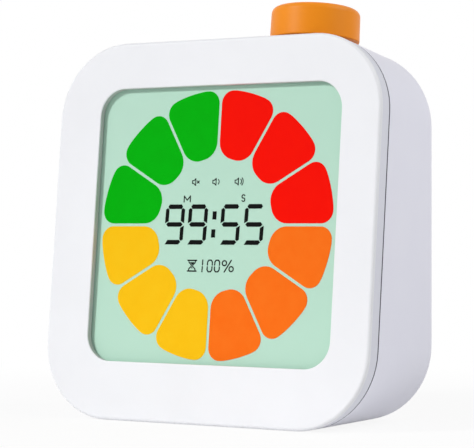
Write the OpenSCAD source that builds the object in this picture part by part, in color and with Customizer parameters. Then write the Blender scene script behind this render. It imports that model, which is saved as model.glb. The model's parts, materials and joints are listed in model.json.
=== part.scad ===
// Visual countdown timer: a leaning LCD face in a two-part shell, a turn-and-press knob on the
// top, a sound switch, a speaker and two AAA cells at the back.
// X runs to the right as the user sees the face, Y to the back, Z up; the base rests on Z = 0.

/* [Body] */
// Width of the front
body_w = 88; // [86:0.5:120]
// Height of the front, along its lean
body_h = 90; // [87:0.5:120]
// Depth at the base
body_d = 38; // [35:0.5:60]
// Lean of the front, in degrees from upright
lean = 6; // [2:0.5:9]
// Corner radius of the front outline
corner_r = 18; // [14:0.5:20]
// Round of the front edge
front_round = 0.8; // [0.8:0.1:2.4]
// Round of the rear edge
rear_round = 5.5; // [3:0.1:7]
// How far each side draws in towards the back
side_taper = 0.6; // [0:0.1:4]
// How far the top falls from the front edge to the rear outline
top_drop = 3; // [2:0.1:5]
// Wall of the shell
wall = 2.2; // [1.8:0.1:2.8]
// Wall of the face around the window
face_wall = 1.5; // [1:0.1:2]
// Depth of the seam behind the face
bezel_t = 4.6; // [3.6:0.1:6]
// Width of the shadow line at the seam
seam_w = 0.5; // [0.3:0.1:0.8]
// Depth of the shadow line at the seam
seam_depth = 0.8; // [0.4:0.1:1.2]
// How far the bezel's lip reaches into the shell
lip_h = 2; // [1:0.1:3]
// Wall of the bezel's lip
lip_t = 1; // [0.8:0.1:1.4]

/* [Window and display] */
// Width of the window
win_w = 66; // [50:0.5:67]
// Height of the window
win_h = 65; // [50:0.5:66]
// Corner radius of the window
win_r = 6.5; // [2:0.5:10]
// Window centre, to the right of the body's centre
win_x = 1; // [-1:0.1:1]
// Window centre, above mid height
win_up = 1.4; // [0:0.1:2]
// Glass that reaches behind the face on each side
lcd_margin = 1; // [0.8:0.1:1.6]
// Contact ledge of the front glass, top and bottom
ledge_w = 3; // [2.4:0.1:3.4]
// Thickness of each glass
glass_t = 0.7; // [0.5:0.1:1.1]
// Thickness of the front film and the reflector
film_t = 0.2; // [0.1:0.05:0.3]
// Thickness of the foam gasket
gasket_t = 0.3; // [0.2:0.05:0.6]
// Wall of the frame around the glass
frame_wall = 0.9; // [0.8:0.1:1.2]
// Space between the front glass and the main board
zebra_h = 2.9; // [2.4:0.1:3.6]
// Width of each rubber contact strip
zebra_w = 2; // [1.6:0.1:2.2]
// How far each rubber contact strip stops short of the glass's sides
zebra_short = 3.2; // [0.5:0.1:10]

/* [Coloured ring] */
// Ring centre, above mid height
ring_up = 1.4; // [0:0.1:3]
// Ring centre, to the right of the window's centre
ring_off = -0.15; // [-0.5:0.05:0.5]
// Inner end of a petal, from the ring centre
petal_in = 15.7; // [12:0.1:18]
// Gap between the petals' outer ends and the window's nearer edges
ring_margin = 1.2; // [0.8:0.1:6]
// Gap between petals
petal_gap = 0.7; // [0.3:0.1:1.5]
// Corner radius at the inner end
petal_in_r = 4.3; // [1:0.1:4.5]
// Corner radius at the outer end
petal_out_r = 3; // [1:0.1:4]
// Thickness of a coloured or black area
ink_t = 0.06; // [0.04:0.01:0.1]

/* [Digits and signs] */
// Middle of the digits and signs, to the right of the window's centre
print_off = -0.25; // [-0.5:0.05:0.5]
// Height of a digit
digit_h = 9.4; // [6:0.1:11]
// Width of a digit
digit_w = 5.3; // [4:0.1:5.6]
// Stroke of a digit
digit_stroke = 1.05; // [0.6:0.05:1.2]
// Slant of a digit, in degrees
digit_slant = 1.5; // [0:0.5:8]
// Pitch of the two digits of a pair
digit_pitch = 6.4; // [6:0.1:7]
// Distance between the two pairs, centre to centre
pair_pitch = 15.4; // [14:0.1:18]
// Stroke of the small signs
sign_stroke = 0.28; // [0.15:0.01:0.4]

/* [Knob and encoder] */
// Knob axis, to the right of the body's centre
knob_x = 18.1; // [12:0.1:22]
// Knob axis, behind the face
knob_q = 14; // [13:0.1:16]
// Radius of the knob at its base
knob_r = 10.5; // [8:0.1:11.5]
// How far the knob's side draws in towards its top
knob_taper = 0.1; // [0:0.1:1]
// Height of the knob
knob_h = 7.6; // [6.5:0.1:12]
// Round of the knob's top edge
knob_round = 1.6; // [0.4:0.1:2]
// Wall of the knob's skirt
knob_wall = 1.8; // [1.2:0.1:2.4]
// Travel of the knob when it is pressed
press_travel = 0.5; // [0.2:0.1:1]
// Radius of the encoder's shaft
shaft_r = 3; // [2:0.1:3.2]
// Running clearance of the shaft, on the radius
shaft_fit = 0.05; // [0.02:0.01:0.1]
// Side of the encoder's square housing
enc_w = 12; // [11:0.1:12.4]
// Height of the encoder's housing
enc_h = 7; // [6.8:0.1:8]
// Wall of the threaded bush around the shaft
bush_wall = 0.5; // [0.4:0.05:1]

/* [Cells and door] */
// Radius of a cell
cell_r = 5.15; // [4.8:0.05:5.25]
// Length of a cell, nub included
cell_len = 44.4; // [40:0.1:46]
// Height of the cells' centre above the base
bay_z = 22; // [20:0.5:26]
// Length of a contact spring in use
spring_len = 4.6; // [3:0.1:6]
// Thickness of the door
door_t = 2; // [1.6:0.1:2.1]
// Gap around the door
door_gap = 0.25; // [0.15:0.05:0.4]
// Radius of the door's pivot pins
door_pin_r = 0.6; // [0.4:0.05:0.7]

/* [Speaker and sound switch] */
// Speaker centre, to the right of the body's centre
speaker_x = 15; // [8:0.5:18]
// Speaker centre, above the base
speaker_z = 56; // [52:0.5:58]
// Radius of the speaker
speaker_r = 11.5; // [9:0.1:12.5]
// Sound switch centre, to the right of the body's centre
switch_x = -19; // [-22:0.5:-16]
// Sound switch centre, above the base
switch_z = 57; // [50:0.5:62]
// Travel of the sound switch to each side
switch_travel = 2; // [1:0.1:2.5]

/* [Fasteners] */
// Radius of the posts that take the shell's screws
post_r = 2.3; // [2.2:0.1:3]
// Radius of the shell's screws
shell_screw_r = 1.3; // [1:0.05:1.5]
// Radius of the small screws
small_screw_r = 0.95; // [0.7:0.05:1.1]

/* [Hidden] */
$fn = 48;
hull_fn = 48;
skin = 0.01;           // thickness of the slices that a shell is drawn over
bite = 0.3;            // how far one feature reaches into the one that carries it
fit_gap = 0.15;        // clearance between static pieces that fit together
big = 400;             // edge of a cutting block
round_step = 18;       // degrees between the slices of a rounded edge
pcb_t = 1.2;           // thickness of the circuit boards
screw_play = 0.05;     // clearance of a screw in its pilot bore
hole_play = 0.15;      // clearance of a screw in the piece it holds

rear_w = body_w - 2 * side_taper;
rear_h = body_h * cos(lean) - top_drop;
foot_t = front_round * tan(lean);
nose = front_round * (sin(lean) + cos(lean) - 1) + foot_t * sin(lean);
y0 = -(body_d + nose) / 2;
rear_y = y0 + body_d;
rim_q = bezel_t - seam_w;
lip_in = wall + fit_gap + lip_t;

// The top surface, in the face's own height and depth
rear_t = (body_d - rear_round) * sin(lean) + rear_h * cos(lean);
rear_q = (body_d - rear_round) * cos(lean) - rear_h * sin(lean);
top_fall = (body_h - rear_t) / (rear_q - front_round);

// Display stack, as depths behind the face
win_t = body_h / 2 + win_up;
ring_t = body_h / 2 + ring_up;
film_q = face_wall + gasket_t;
glass_q = film_q + film_t;
rear_glass_q = glass_q + glass_t;
reflector_q = rear_glass_q + glass_t;
board_q = rear_glass_q + zebra_h;
board_back = board_q + pcb_t;
film_w = win_w + 2 * lcd_margin;
film_h = win_h + 2 * lcd_margin;
glass_h = win_h + 2 * ledge_w;
rear_glass_h = glass_h - 2 * (zebra_w + 2 * fit_gap);
frame_w = film_w + 2 * (fit_gap + frame_wall);
frame_h = glass_h + 2 * (fit_gap + frame_wall);
frame_r = 2.6 * frame_wall;
zebra_off = rear_glass_h / 2 + fit_gap + zebra_w / 2;
zebra_len = film_w - 2 * zebra_short;
petal_out = min(win_w, win_h) / 2 - ring_margin;

// Posts and screws beside the display
post_x = abs(win_x) + frame_w / 2 + fit_gap + post_r;
post_lo = 24;          // heights of the posts, from the foot and from the top
post_hi = body_h - 22;
post_q = 9;            // depths of the posts' ends and of the screws' seats
seat_q = 16;
seat_floor = 1.2;       // material in front of a screw head's seat
blind = 1;             // material left beyond a blind bore
shell_screw_len = 11.5;
shell_head_r = 2.3;
shell_head_h = 1.7;
tube_r = shell_head_r + fit_gap + 0.85;
boss_r = 1.9;
boss_off = 9;
boss_lo = win_t - boss_off;
boss_hi = win_t + boss_off;
small_head_r = 1.7;
small_head_h = 1.2;
small_screw_len = 4.6;

// Encoder and knob, as heights along the face
enc_clear = 0.6;
enc_top = top_t(knob_q + enc_w / 2) - wall - enc_clear;
enc_base = enc_top - enc_h;
enc_floor = 0.8;
enc_ceiling = 1.6;
enc_cavity_r = enc_w / 2 - 0.9;
bush_r = shaft_r + shaft_fit + bush_wall;
bush_h = 4.6;
bush_play = 0.3;
knob_gap = 0.4;
knob_base = top_t(knob_q - knob_r) + press_travel + knob_gap;
knob_top_r = knob_r - knob_taper;
knob_top_wall = 1.5;
knob_edge = 0.3;
flat_fit = 0.02;
hub_r = shaft_r + 2;
hub_lift = enc_top + bush_h + press_travel + 0.2 - knob_base;
shaft_flat = 0.5 * shaft_r;
shaft_top = knob_base + knob_h - knob_top_wall - 0.3;
flange_r = enc_cavity_r - 0.8;
flange_h = 0.8;
drive_w = 1.2 * shaft_r;
dome_r = 2.2;
dome_h = 0.45;
dome_t = 0.15;
rotor_r = enc_cavity_r - 0.2;
rotor_h = 1.6;
enc_screw_x = enc_w / 2 + boss_r + small_head_r;
enc_board_w = 2 * (enc_screw_x + 2.7);
enc_board_d = enc_w + 1;

// Cell bay and door
cell_gap = 0.3;
plate_t = 0.4;
nub_r = 1.9;
nub_h = 1.1;
bay_w = cell_len + spring_len + 2 * plate_t + 2 * fit_gap;
bay_h = 4 * cell_r + 3 * cell_gap;
bay_wall = 2;
bay_floor = 1.2;
bay_d = wall + 2 * cell_r + 2 * cell_gap;
door_ledge = 1;
door_w = bay_w + 2 * door_ledge;
door_h = bay_h + 2 * door_ledge;
door_corner = 2;
door_pin_len = 1.2;
door_pin_fit = 0.05;
door_axis_z = bay_z - door_h / 2 + door_t / 2;
scoop_r = 8;
scoop_depth = 1;

// Speaker and sound switch
speaker_rim_t = 0.8;
speaker_cup_r = speaker_r - 3;
speaker_cup_h = 3;
speaker_cup_wall = 0.5;
speaker_ring_h = 2.4;
speaker_ring_t = 1.4;
grille_hole_r = 0.8;
grille_pitch = 3;
grille_rings = floor((speaker_cup_r + grille_hole_r) / grille_pitch);
base_sink = 0.1;          // two shallow sunk fields under the base keep it from rocking on its middle
base_sink_x = 15.5;
base_sink_w = 15;
base_sink_l = 23;
pocket_w = 13;
pocket_h = 6.6;
pocket_d = 1.1;
tab_w = 4;
tab_h = 3;
tab_q = 0.4;
can_w = 9.4;
can_h = 4.4;
can_d = 3;
can_wall = 0.3;
can_q = wall + bite;
stem_w = 2.2;
stem_h = 1.5;
shoe_h = 0.8;
switch_screw_x = can_w / 2 + boss_r + 2.2;
switch_board_w = 2 * (switch_screw_x + 2.5);
switch_board_h = 9;
switch_board_t = 1;

// ---- places ----

function top_t(q) = body_h - (q - front_round) * top_fall;
function face_y(t, q) = y0 + t * sin(lean) + q * cos(lean);
function face_z(t, q) = t * cos(lean) - q * sin(lean);

// Local Z points out of the face; q is the depth behind it and t the height along it.
module at_face(x, t, q) translate([0, y0, 0]) rotate([90 - lean, 0, 0]) translate([x, t, -q])
  children();

// Local Z points up the knob's axis.
module at_top(x, t, q) at_face(x, t, q) rotate([-90, 0, 0]) children();

// Local Z points out of the back; d is the depth in front of it.
module at_rear(x, z, d) translate([x, rear_y - d, z]) rotate([-90, 0, 0]) children();

module face_plate(x, t, q, h) at_face(x, t, q + h) linear_extrude(h) children();

module ahead_of(q) at_face(-big / 2, -big / 4, q) cube(big);
module behind(q) at_face(-big / 2, -big / 4, q + big) cube(big);
module both_sides(x) for (side = [-1, 1]) translate([side * x, 0, 0]) children();

// ---- shapes ----

module rounded(w, h, r) {
  square([w - 2 * r, h], center = true);
  square([w, h - 2 * r], center = true);
  for (sx = [-1, 1], sy = [-1, 1]) translate([sx * (w / 2 - r), sy * (h / 2 - r)]) circle(r);
}

module outline(w, low, high, r) translate([0, (low + high) / 2]) rounded(w, high - low, r, $fn = hull_fn);

// The body's outer form, or one drawn in by the given wall.
module body_form(inset = 0) {
  fr = max(front_round - inset, skin);
  rr = max(rear_round - inset, skin);
  hull() {
    for (a = [0:round_step * 5 / 3:90]) let (in = inset + fr * (1 - cos(a)))
      at_face(0, 0, fr * (1 - sin(a)) + skin) linear_extrude(skin)
        outline(body_w - 2 * in, foot_t + in, body_h - in, corner_r - in);
    for (a = [0:round_step:90]) let (in = inset + rr * (1 - cos(a)))
      translate([0, rear_y - rear_round + rr * sin(a), 0]) rotate([90, 0, 0]) linear_extrude(skin)
        outline(rear_w - 2 * in, in, rear_h - in, corner_r - in);
  }
}

module tube(r, bore, h) difference() {
  cylinder(r = r, h = h);
  translate([0, 0, -skin]) cylinder(r = bore, h = h + 2 * skin);
}

// Screw with its head's underside at Z = 0 and its shank below.
module screw(r, len, head_r, head_h) difference() {
  union() {
    translate([0, 0, -len]) cylinder(r = r, h = len);
    cylinder(r = head_r, h = head_h);
  }
  for (turn = [0, 90]) rotate(turn) translate([0, 0, head_h])
    cube([1.3 * head_r, 0.3 * head_r, head_h], center = true);
}

module small_screw() screw(small_screw_r, small_screw_len, small_head_r, small_head_h);

// Line of the given width through the points, with round ends and corners.
module stroke(points, w) {
  for (p = points) translate(p) circle(d = w, $fn = 16);
  for (i = [1:len(points) - 1]) let (step = points[i] - points[i - 1])
    translate(points[i - 1]) rotate(atan2(step[1], step[0])) translate([0, -w / 2])
      square([norm(step), w]);
}

function arc(c, r, from, to, n) =
  [for (i = [0:n]) let (a = from + (to - from) * i / n) c + r * [cos(a), sin(a)]];

// Flat lead in a plane across X, through points given as [Y, Z].
module lead(x, w, t, points) translate([x - w / 2, 0, 0]) rotate([90, 0, 90]) linear_extrude(w)
  stroke(points, t);

// ---- shell ----

module front_bezel() color("white") difference() {
  union() {
    difference() {
      union() {
        intersection() {
          body_form();
          ahead_of(rim_q);
        }
        intersection() {
          body_form(wall + fit_gap);
          ahead_of(bezel_t + lip_h);
        }
      }
      intersection() {
        body_form(lip_in);
        behind(face_wall);
      }
    }
    for (x = [-post_x, post_x], t = [post_lo, post_hi])
      at_face(x, t, post_q) cylinder(r = post_r, h = post_q - face_wall + bite);
    for (x = [-post_x, post_x], t = [boss_lo, boss_hi])
      at_face(x, t, board_q) cylinder(r = boss_r, h = board_q - face_wall + bite);
  }
  at_face(win_x, win_t, face_wall + bite) linear_extrude(face_wall + 2 * bite)
    rounded(win_w, win_h, win_r);
  for (x = [-post_x, post_x], t = [post_lo, post_hi])
    at_face(x, t, post_q + skin) cylinder(r = shell_screw_r + screw_play, h = post_q - face_wall - blind);
  for (x = [-post_x, post_x], t = [boss_lo, boss_hi])
    at_face(x, t, board_q + skin) cylinder(r = small_screw_r + screw_play, h = board_q - face_wall);
}

module screw_tubes(r_thin, r_wide, q) for (x = [-post_x, post_x], t = [post_lo, post_hi]) {
  at_face(x, t, q + skin) cylinder(r = r_thin, h = q - post_q - screw_play);
  at_face(x, t, 2 * body_d) cylinder(r = r_wide, h = 2 * body_d - q);
}

module bay_block() translate([0, rear_y - bay_d - bay_floor, bay_z]) rotate([-90, 0, 0])
  linear_extrude(bay_d + bay_floor - wall / 2)
    square([bay_w + 2 * bay_wall, bay_h + 2 * bay_wall], center = true);

module door_outline(grow) mirror([0, 1]) {
  translate([-door_w / 2 - grow, door_axis_z - door_t / 2 - grow])
    square([door_w + 2 * grow, door_h - door_corner + grow]);
  for (side = [-1, 1]) translate([side * (door_w / 2 - door_corner), bay_z + door_h / 2 - door_corner])
    circle(door_corner + grow);
  translate([-door_w / 2 + door_corner, bay_z]) square([door_w - 2 * door_corner, door_h / 2 + grow]);
}

// Hollow for a fingertip, half in the door and half in the shell above it.
module finger_scoop() at_rear(0, bay_z + door_h / 2, 0) translate([0, 0, scoop_r - scoop_depth])
  sphere(scoop_r);

module grille() for (ring = [0:grille_rings]) let (n = max(6 * ring, 1)) for (i = [0:n - 1])
  rotate(i * 360 / n) translate([ring * grille_pitch, 0, 0])
    cylinder(r = grille_hole_r, h = wall + 2 * bite);

module rear_shell() color([0.87, 0.87, 0.9]) difference() {
  union() {
    difference() {
      union() {
        intersection() {
          body_form();
          behind(bezel_t);
        }
        intersection() {
          body_form(seam_depth);
          behind(rim_q);
        }
      }
      body_form(wall);
    }
    intersection() {
      body_form(seam_depth);
      union() {
        screw_tubes(post_r, tube_r, seat_q - seat_floor);
        bay_block();
      }
    }
    for (side = [-1, 1]) at_top(knob_x + side * enc_screw_x, enc_base, knob_q)
      cylinder(r = boss_r, h = top_t(knob_q) - wall / 2 - enc_base);
    at_rear(speaker_x, speaker_z, wall + speaker_ring_h)
      tube(speaker_r + fit_gap + speaker_ring_t, speaker_r + fit_gap, speaker_ring_h + bite);
    for (side = [-1, 1]) at_rear(switch_x + side * switch_screw_x, switch_z, can_q + can_d)
      cylinder(r = boss_r, h = can_q + can_d - wall + bite);
  }
  screw_tubes(shell_screw_r + hole_play, shell_head_r + fit_gap, seat_q);
  at_top(knob_x, enc_top, knob_q) cylinder(r = bush_r + bush_play, h = wall + 2 * enc_clear + bush_h);
  for (side = [-1, 1]) at_top(knob_x + side * enc_screw_x, enc_base - skin, knob_q)
    cylinder(r = small_screw_r + screw_play, h = small_screw_len);
  at_rear(0, bay_z, bay_d) linear_extrude(bay_d + bite) square([bay_w, bay_h], center = true);
  at_rear(0, 0, door_t + fit_gap) linear_extrude(door_t + fit_gap + bite) door_outline(door_gap);
  for (side = [-1, 1])
    translate([side * (door_w + door_gap + door_pin_len) / 2, rear_y - door_t / 2, door_axis_z])
      rotate([0, 90, 0])
        cylinder(r = door_pin_r + door_pin_fit, h = door_pin_len + 2 * door_gap, center = true);
  finger_scoop();
  at_rear(speaker_x, speaker_z, wall + bite) grille();
  at_rear(switch_x, switch_z, pocket_d) linear_extrude(pocket_d + bite)
    rounded(pocket_w, pocket_h, 1.5 * pocket_d);
  at_rear(switch_x, switch_z, wall + bite) linear_extrude(wall + 2 * bite)
    square([tab_w + 2 * switch_travel + 2 * hole_play, tab_h + 2 * hole_play], center = true);
  for (side = [-1, 1]) at_rear(switch_x + side * switch_screw_x, switch_z, can_q + can_d + skin)
    cylinder(r = small_screw_r + screw_play, h = can_d);
  for (side = [-1, 1]) translate([side * base_sink_x - base_sink_w / 2, -base_sink_l / 2, -bite])
    cube([base_sink_w, base_sink_l, base_sink + bite]);
}

module battery_door() color([0.87, 0.87, 0.9]) {
  difference() {
    at_rear(0, 0, door_t) linear_extrude(door_t) door_outline(0);
    translate([-door_w, rear_y - door_t - skin, door_axis_z - door_t])
      cube([2 * door_w, 2 * door_t, door_t]);
    finger_scoop();
  }
  translate([0, rear_y - door_t / 2, door_axis_z]) rotate([0, 90, 0]) {
    cylinder(d = door_t, h = door_w, center = true);
    cylinder(r = door_pin_r, h = door_w + 2 * door_gap + 2 * door_pin_len - door_gap, center = true);
  }
}

module shell_screws() color("silver") for (x = [-post_x, post_x], t = [post_lo, post_hi])
  at_face(x, t, seat_q + screw_play) mirror([0, 0, 1])
    screw(shell_screw_r, shell_screw_len, shell_head_r, shell_head_h);

// ---- display ----

module lcd_gasket() color("dimgray") face_plate(win_x, win_t, face_wall, gasket_t) difference() {
  rounded(film_w, film_h, win_r / 2);
  rounded(win_w + lcd_margin / 2, win_h + lcd_margin / 2, win_r);
}

module lcd_front_film() color([0.73, 0.88, 0.81]) face_plate(win_x, win_t, film_q, film_t)
  square([film_w, film_h], center = true);

module lcd_front_glass() color([0.8, 0.9, 0.88, 0.6]) face_plate(win_x, win_t, glass_q, glass_t)
  square([film_w, glass_h], center = true);

module lcd_rear_glass() color([0.8, 0.9, 0.88, 0.6]) face_plate(win_x, win_t, rear_glass_q, glass_t)
  square([film_w, rear_glass_h], center = true);

module lcd_reflector() color("silver") face_plate(win_x, win_t, reflector_q, film_t)
  square([film_w - 2 * lcd_margin, rear_glass_h - 2 * lcd_margin], center = true);

petal_bow = 0.35;      // how far a petal's outer edge bows out

// One petal on the X axis: two sides along the gaps, rounded at both ends.
module petal() {
  side = [cos(15), sin(15)];
  in_c = (petal_in + petal_in_r) * [1, 0]
    + [0, (petal_in + petal_in_r) * tan(15) - (petal_in_r + petal_gap / 2) / cos(15)];
  out_c = (petal_out - petal_out_r) * [1, 0]
    + [0, (petal_out - petal_out_r) * tan(15) - (petal_out_r + petal_gap / 2) / cos(15)];
  low = [1, -1];
  steps = 8;
  polygon(concat(
    arc([out_c[0], out_c[1]], petal_out_r, 10, 105, steps),
    arc([in_c[0], in_c[1]], petal_in_r, 105, 180, steps),
    arc([in_c[0] * low[0], in_c[1] * low[1]], petal_in_r, 180, 255, steps),
    arc([out_c[0] * low[0], out_c[1] * low[1]], petal_out_r, 255, 350, steps),
    arc([0, 0], petal_out + petal_bow, -7, 7, steps)));
}

module petals(first) face_plate(win_x + ring_off, ring_t, film_q - ink_t, ink_t)
  for (i = [0:2]) rotate(first + 15 + 30 * i) petal();

module petals_red() color([0.97, 0.1, 0.05]) petals(0);
module petals_green() color([0.05, 0.7, 0.1]) petals(90);
module petals_yellow() color([0.98, 0.77, 0.14]) petals(180);
module petals_orange() color([0.98, 0.45, 0.13]) petals(270);

// A flat outline mirrored by the signs u and v, and one leaning like the digits.
function flip(points, u, v) = [for (p = points) [u * p[0], v * p[1]]];
function slanted(points) = [for (p = points) [p[0] + p[1] * tan(digit_slant), p[1]]];

// Outlines of a digit's segments from the top, clockwise, middle last; x and y are its half width and
// half height, and w its stroke.
function segments(x, y, w) =
  let (side = [[-x, y - 1.15 * w], [-x + 0.5 * w, y - 0.8 * w], [-x + 0.9 * w, y - 1.15 * w],
    [-x + 0.9 * w, 0.76 * w], [-x, 0.28 * w]])
  [[[-x + 0.95 * w, y], [x - 0.95 * w, y], [x - 0.58 * w, y - 0.5 * w], [x - 0.9 * w, y - w],
      [-x + 0.9 * w, y - w], [-x + 0.58 * w, y - 0.5 * w]],
    flip(side, -1, 1), flip(side, -1, -1),
    [[-x + 0.35 * w, -y], [x - 1.15 * w, -y], [x - 0.62 * w, -y + 0.55 * w], [x - w, -y + w],
      [-x + w, -y + w]],
    flip(side, 1, -1), side,
    [[-x + 0.36 * w, 0], [-x + 0.82 * w, 0.5 * w], [x - 0.82 * w, 0.5 * w], [x - 0.36 * w, 0],
      [x - 0.82 * w, -0.5 * w], [-x + 0.82 * w, -0.5 * w]]];

// Seven-segment digit about its centre.
module digit(lit) let (parts = segments(digit_w / 2, digit_h / 2, digit_stroke))
  for (s = lit) polygon(slanted(parts[s]));

NINE = [0, 1, 2, 3, 5, 6];
FIVE = [0, 2, 3, 5, 6];
digits_up = 1.5;       // centre line of the digits above mid height
colon_gap = 2.1;       // colon dots, from the digits' centre line
colon_w = 1.05;
colon_h = 1.9;

module time_digits() color("black")
face_plate(win_x + print_off, body_h / 2 + digits_up, film_q - ink_t, ink_t) {
  for (pair = [-1, 1], one = [-1, 1])
    translate([pair * pair_pitch / 2 + one * digit_pitch / 2, 0]) digit(pair < 0 ? NINE : FIVE);
  for (side = [-1, 1]) translate([side * colon_gap * tan(digit_slant) + 0.05, side * colon_gap])
    square([colon_w, colon_h], center = true);
}

// Small speaker outline; waves is the number of sound waves, 0 draws a cross.
module sound_sign(waves) {
  w = 0.7 * sign_stroke;
  stroke([[-0.9, -0.35], [-0.9, 0.35], [-0.5, 0.35], [0, 0.8], [0, -0.8], [-0.5, -0.35], [-0.9, -0.35]], w);
  for (i = [1:1:waves]) stroke(arc([0, 0], 0.38 + 0.45 * i, -40, 40, 6), w);
  if (waves == 0) for (m = [0, 1]) mirror([0, m]) stroke([[0.45, -0.25], [0.95, 0.25]], w);
}

// Hourglass with thick ends, sand above and a grain below.
module hourglass_sign() {
  w = 0.8 * sign_stroke;
  for (m = [0, 1]) mirror([0, m]) {
    stroke([[-1.2, 1.24], [1.2, 1.24]], 1.1 * sign_stroke);
    for (k = [0, 1]) mirror([k, 0]) stroke([[0.92, 1.2], [0.86, 0.75], [0.2, 0.16], [0.2, 0]], w);
  }
  polygon([[-0.62, 0.8], [0.62, 0.8], [0, 0.24]]);
  translate([0, -0.5]) circle(0.15, $fn = 16);
}

// Upright of a small figure, open at mid height, and a zero of two such halves.
module one_sign(h) for (side = [-1, 1]) stroke(slanted([[0, side * 0.22], [0, side * h / 2]]), sign_stroke);

module zero_sign(w, h) for (side = [-1, 1])
  stroke(slanted(flip([[-w / 2, 0.22], [-w / 2, h / 3], [-w / 4, h / 2], [w / 4, h / 2], [w / 2, h / 3],
    [w / 2, 0.22]], 1, side)), sign_stroke);

module percent_sign(w, h) {
  stroke([[-0.31 * w, -h / 2], [0.31 * w, h / 2]], sign_stroke);
  for (m = [-1, 1]) translate([m * w / 3, -m * h / 4]) difference() {
    circle(w / 5 + sign_stroke / 2);
    circle(w / 5 - sign_stroke / 2);
  }
}

module m_sign(w, h) stroke([[-w / 2, -h / 2], [-w / 2, h / 2], [0, -0.3], [w / 2, h / 2],
  [w / 2, -h / 2]], 0.85 * sign_stroke);

module s_sign(r) let (up = r - 0.03)
  stroke(concat(arc([0, up], r, 30, 250, 8), arc([0, -up], r, 70, -150, 8)), 0.85 * sign_stroke);

sound_up = 11.45;      // heights of the small signs, above mid height
label_up = 7.5;
sign_down = 8.15;
sign_h = 2.7;

module status_signs() color("black")
face_plate(win_x + print_off, body_h / 2, film_q - ink_t, ink_t) {
  for (i = [0:2]) translate([[-5.6, 0.02, 6.1][i], sound_up]) sound_sign(i);
  translate([-7.7, label_up]) m_sign(1.7, 1.4);
  translate([7.7, label_up + 0.1]) s_sign(0.4);
  translate([-5.33, -sign_down]) hourglass_sign();
  translate([-2.46, -sign_down]) one_sign(sign_h);
  for (x = [-0.45, 1.55]) translate([x, -sign_down]) zero_sign(1.3, sign_h);
  translate([4.48, -sign_down]) percent_sign(2.85, sign_h);
}

module lcd_frame() color("whitesmoke") {
  face_plate(win_x, win_t, face_wall, board_q - face_wall) difference() {
    rounded(frame_w, frame_h, frame_r);
    square([film_w + 2 * fit_gap, glass_h + 2 * fit_gap], center = true);
  }
  for (side = [-1, 1])
    face_plate(win_x, win_t + side * (zebra_off - zebra_w - fit_gap), reflector_q + film_t + fit_gap,
      board_q - reflector_q - film_t - fit_gap)
      square([film_w + 2 * fit_gap + frame_wall, zebra_w - fit_gap], center = true);
}

module contact_strips() color("dimgray") for (side = [-1, 1])
  face_plate(win_x, win_t + side * zebra_off, rear_glass_q, zebra_h)
    square([zebra_len, zebra_w], center = true);

// ---- main board ----

module main_board() color("seagreen") face_plate(0, 0, board_q, pcb_t) difference() {
  union() {
    translate([win_x, win_t]) rounded(frame_w, frame_h, frame_r);
    for (m = [0, 1], t = [boss_lo, boss_hi]) mirror([m, 0]) {
      translate([post_x, t]) circle(boss_r);
      translate([frame_w / 2 - abs(win_x) - bite, t - boss_r])
        square([post_x - frame_w / 2 + abs(win_x), 2 * boss_r]);
    }
  }
  for (x = [-post_x, post_x], t = [boss_lo, boss_hi]) translate([x, t]) circle(small_screw_r + hole_play);
}

// What stands on the board's back, as [across, height above mid height]
CHIP_AT = [-8, 1];
CRYSTAL_AT = [8, 9];
CAPACITOR_AT = [22, -7];
SMALL_CHIPS_AT = [-24, 25];
chip_r = 7;
chip_h = 1.8;
crystal_r = 1.5;
crystal_len = 6;
pin_w = 0.4;
pin_reach = 2;
pin_pitch = 0.7;
capacitor_r = 2.5;
capacitor_h = 6.5;
small_chip = [2, 1.2, 0.7];
small_chip_pitch = 5;

// Local Z points back to the display; at is a place on the board's back.
module on_board(at, off = 0) at_face(at[0], body_h / 2 + at[1], board_back + off) children();

module controller_chip() color("black") on_board(CHIP_AT) mirror([0, 0, 1])
  rotate_extrude() polygon(concat([[0, 0]],
    [for (a = [0:15:90]) [chip_r * cos(a), chip_h * sin(a)]]));

module clock_crystal() color("silver") on_board(CRYSTAL_AT, crystal_r) {
  rotate([-90, 0, 0]) cylinder(r = crystal_r, h = crystal_len);
  both_sides(pin_pitch) translate([-pin_w / 2, -pin_reach, -pin_w / 2]) {
    cube([pin_w, pin_reach + bite, pin_w]);
    cube([pin_w, pin_w, crystal_r + pin_w / 2]);
  }
}

module filter_capacitor() color("midnightblue") on_board(CAPACITOR_AT, capacitor_h)
  cylinder(r = capacitor_r, h = capacitor_h);

// Small chips in two rows.
module board_chips() color("saddlebrown") for (i = [0:5], row = [0, 1])
  on_board(SMALL_CHIPS_AT + small_chip_pitch * [i, -row], small_chip[2] / 2)
    cube(small_chip, center = true);

socket_w = 6;
socket_h = 4;
socket_d = 4;
socket_wall = 0.6;
socket_bore = 2.39;
lead_x = -16;          // leads of the cells, across
// Sockets for the leads, as [across, height] on the board: speaker, switch, cells
SOCKETS = [[speaker_x, speaker_z - 4], [switch_x, switch_z - 5], [lead_x, bay_z + 6]];
socket_q = board_back + socket_d;

module lead_sockets() color("ivory") for (s = SOCKETS) at_face(s[0], s[1], board_back + socket_d)
  difference() {
    linear_extrude(socket_d) square([socket_w, socket_h], center = true);
    translate([0, 0, -skin]) linear_extrude(socket_bore + skin)
      square([socket_w - 2 * socket_wall, socket_h - 2 * socket_wall], center = true);
  }

module board_screws() color("silver") for (x = [-post_x, post_x], t = [boss_lo, boss_hi])
  at_face(x, t, board_back) mirror([0, 0, 1]) small_screw();

// ---- encoder and knob ----

module encoder_board() color("seagreen") at_top(knob_x, enc_base - pcb_t, knob_q) difference() {
  translate([-enc_board_w / 2, -enc_board_d / 2, 0]) cube([enc_board_w, enc_board_d, pcb_t]);
  both_sides(enc_screw_x) translate([0, 0, -skin]) cylinder(r = small_screw_r + hole_play, h = 2 * pcb_t);
}

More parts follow.
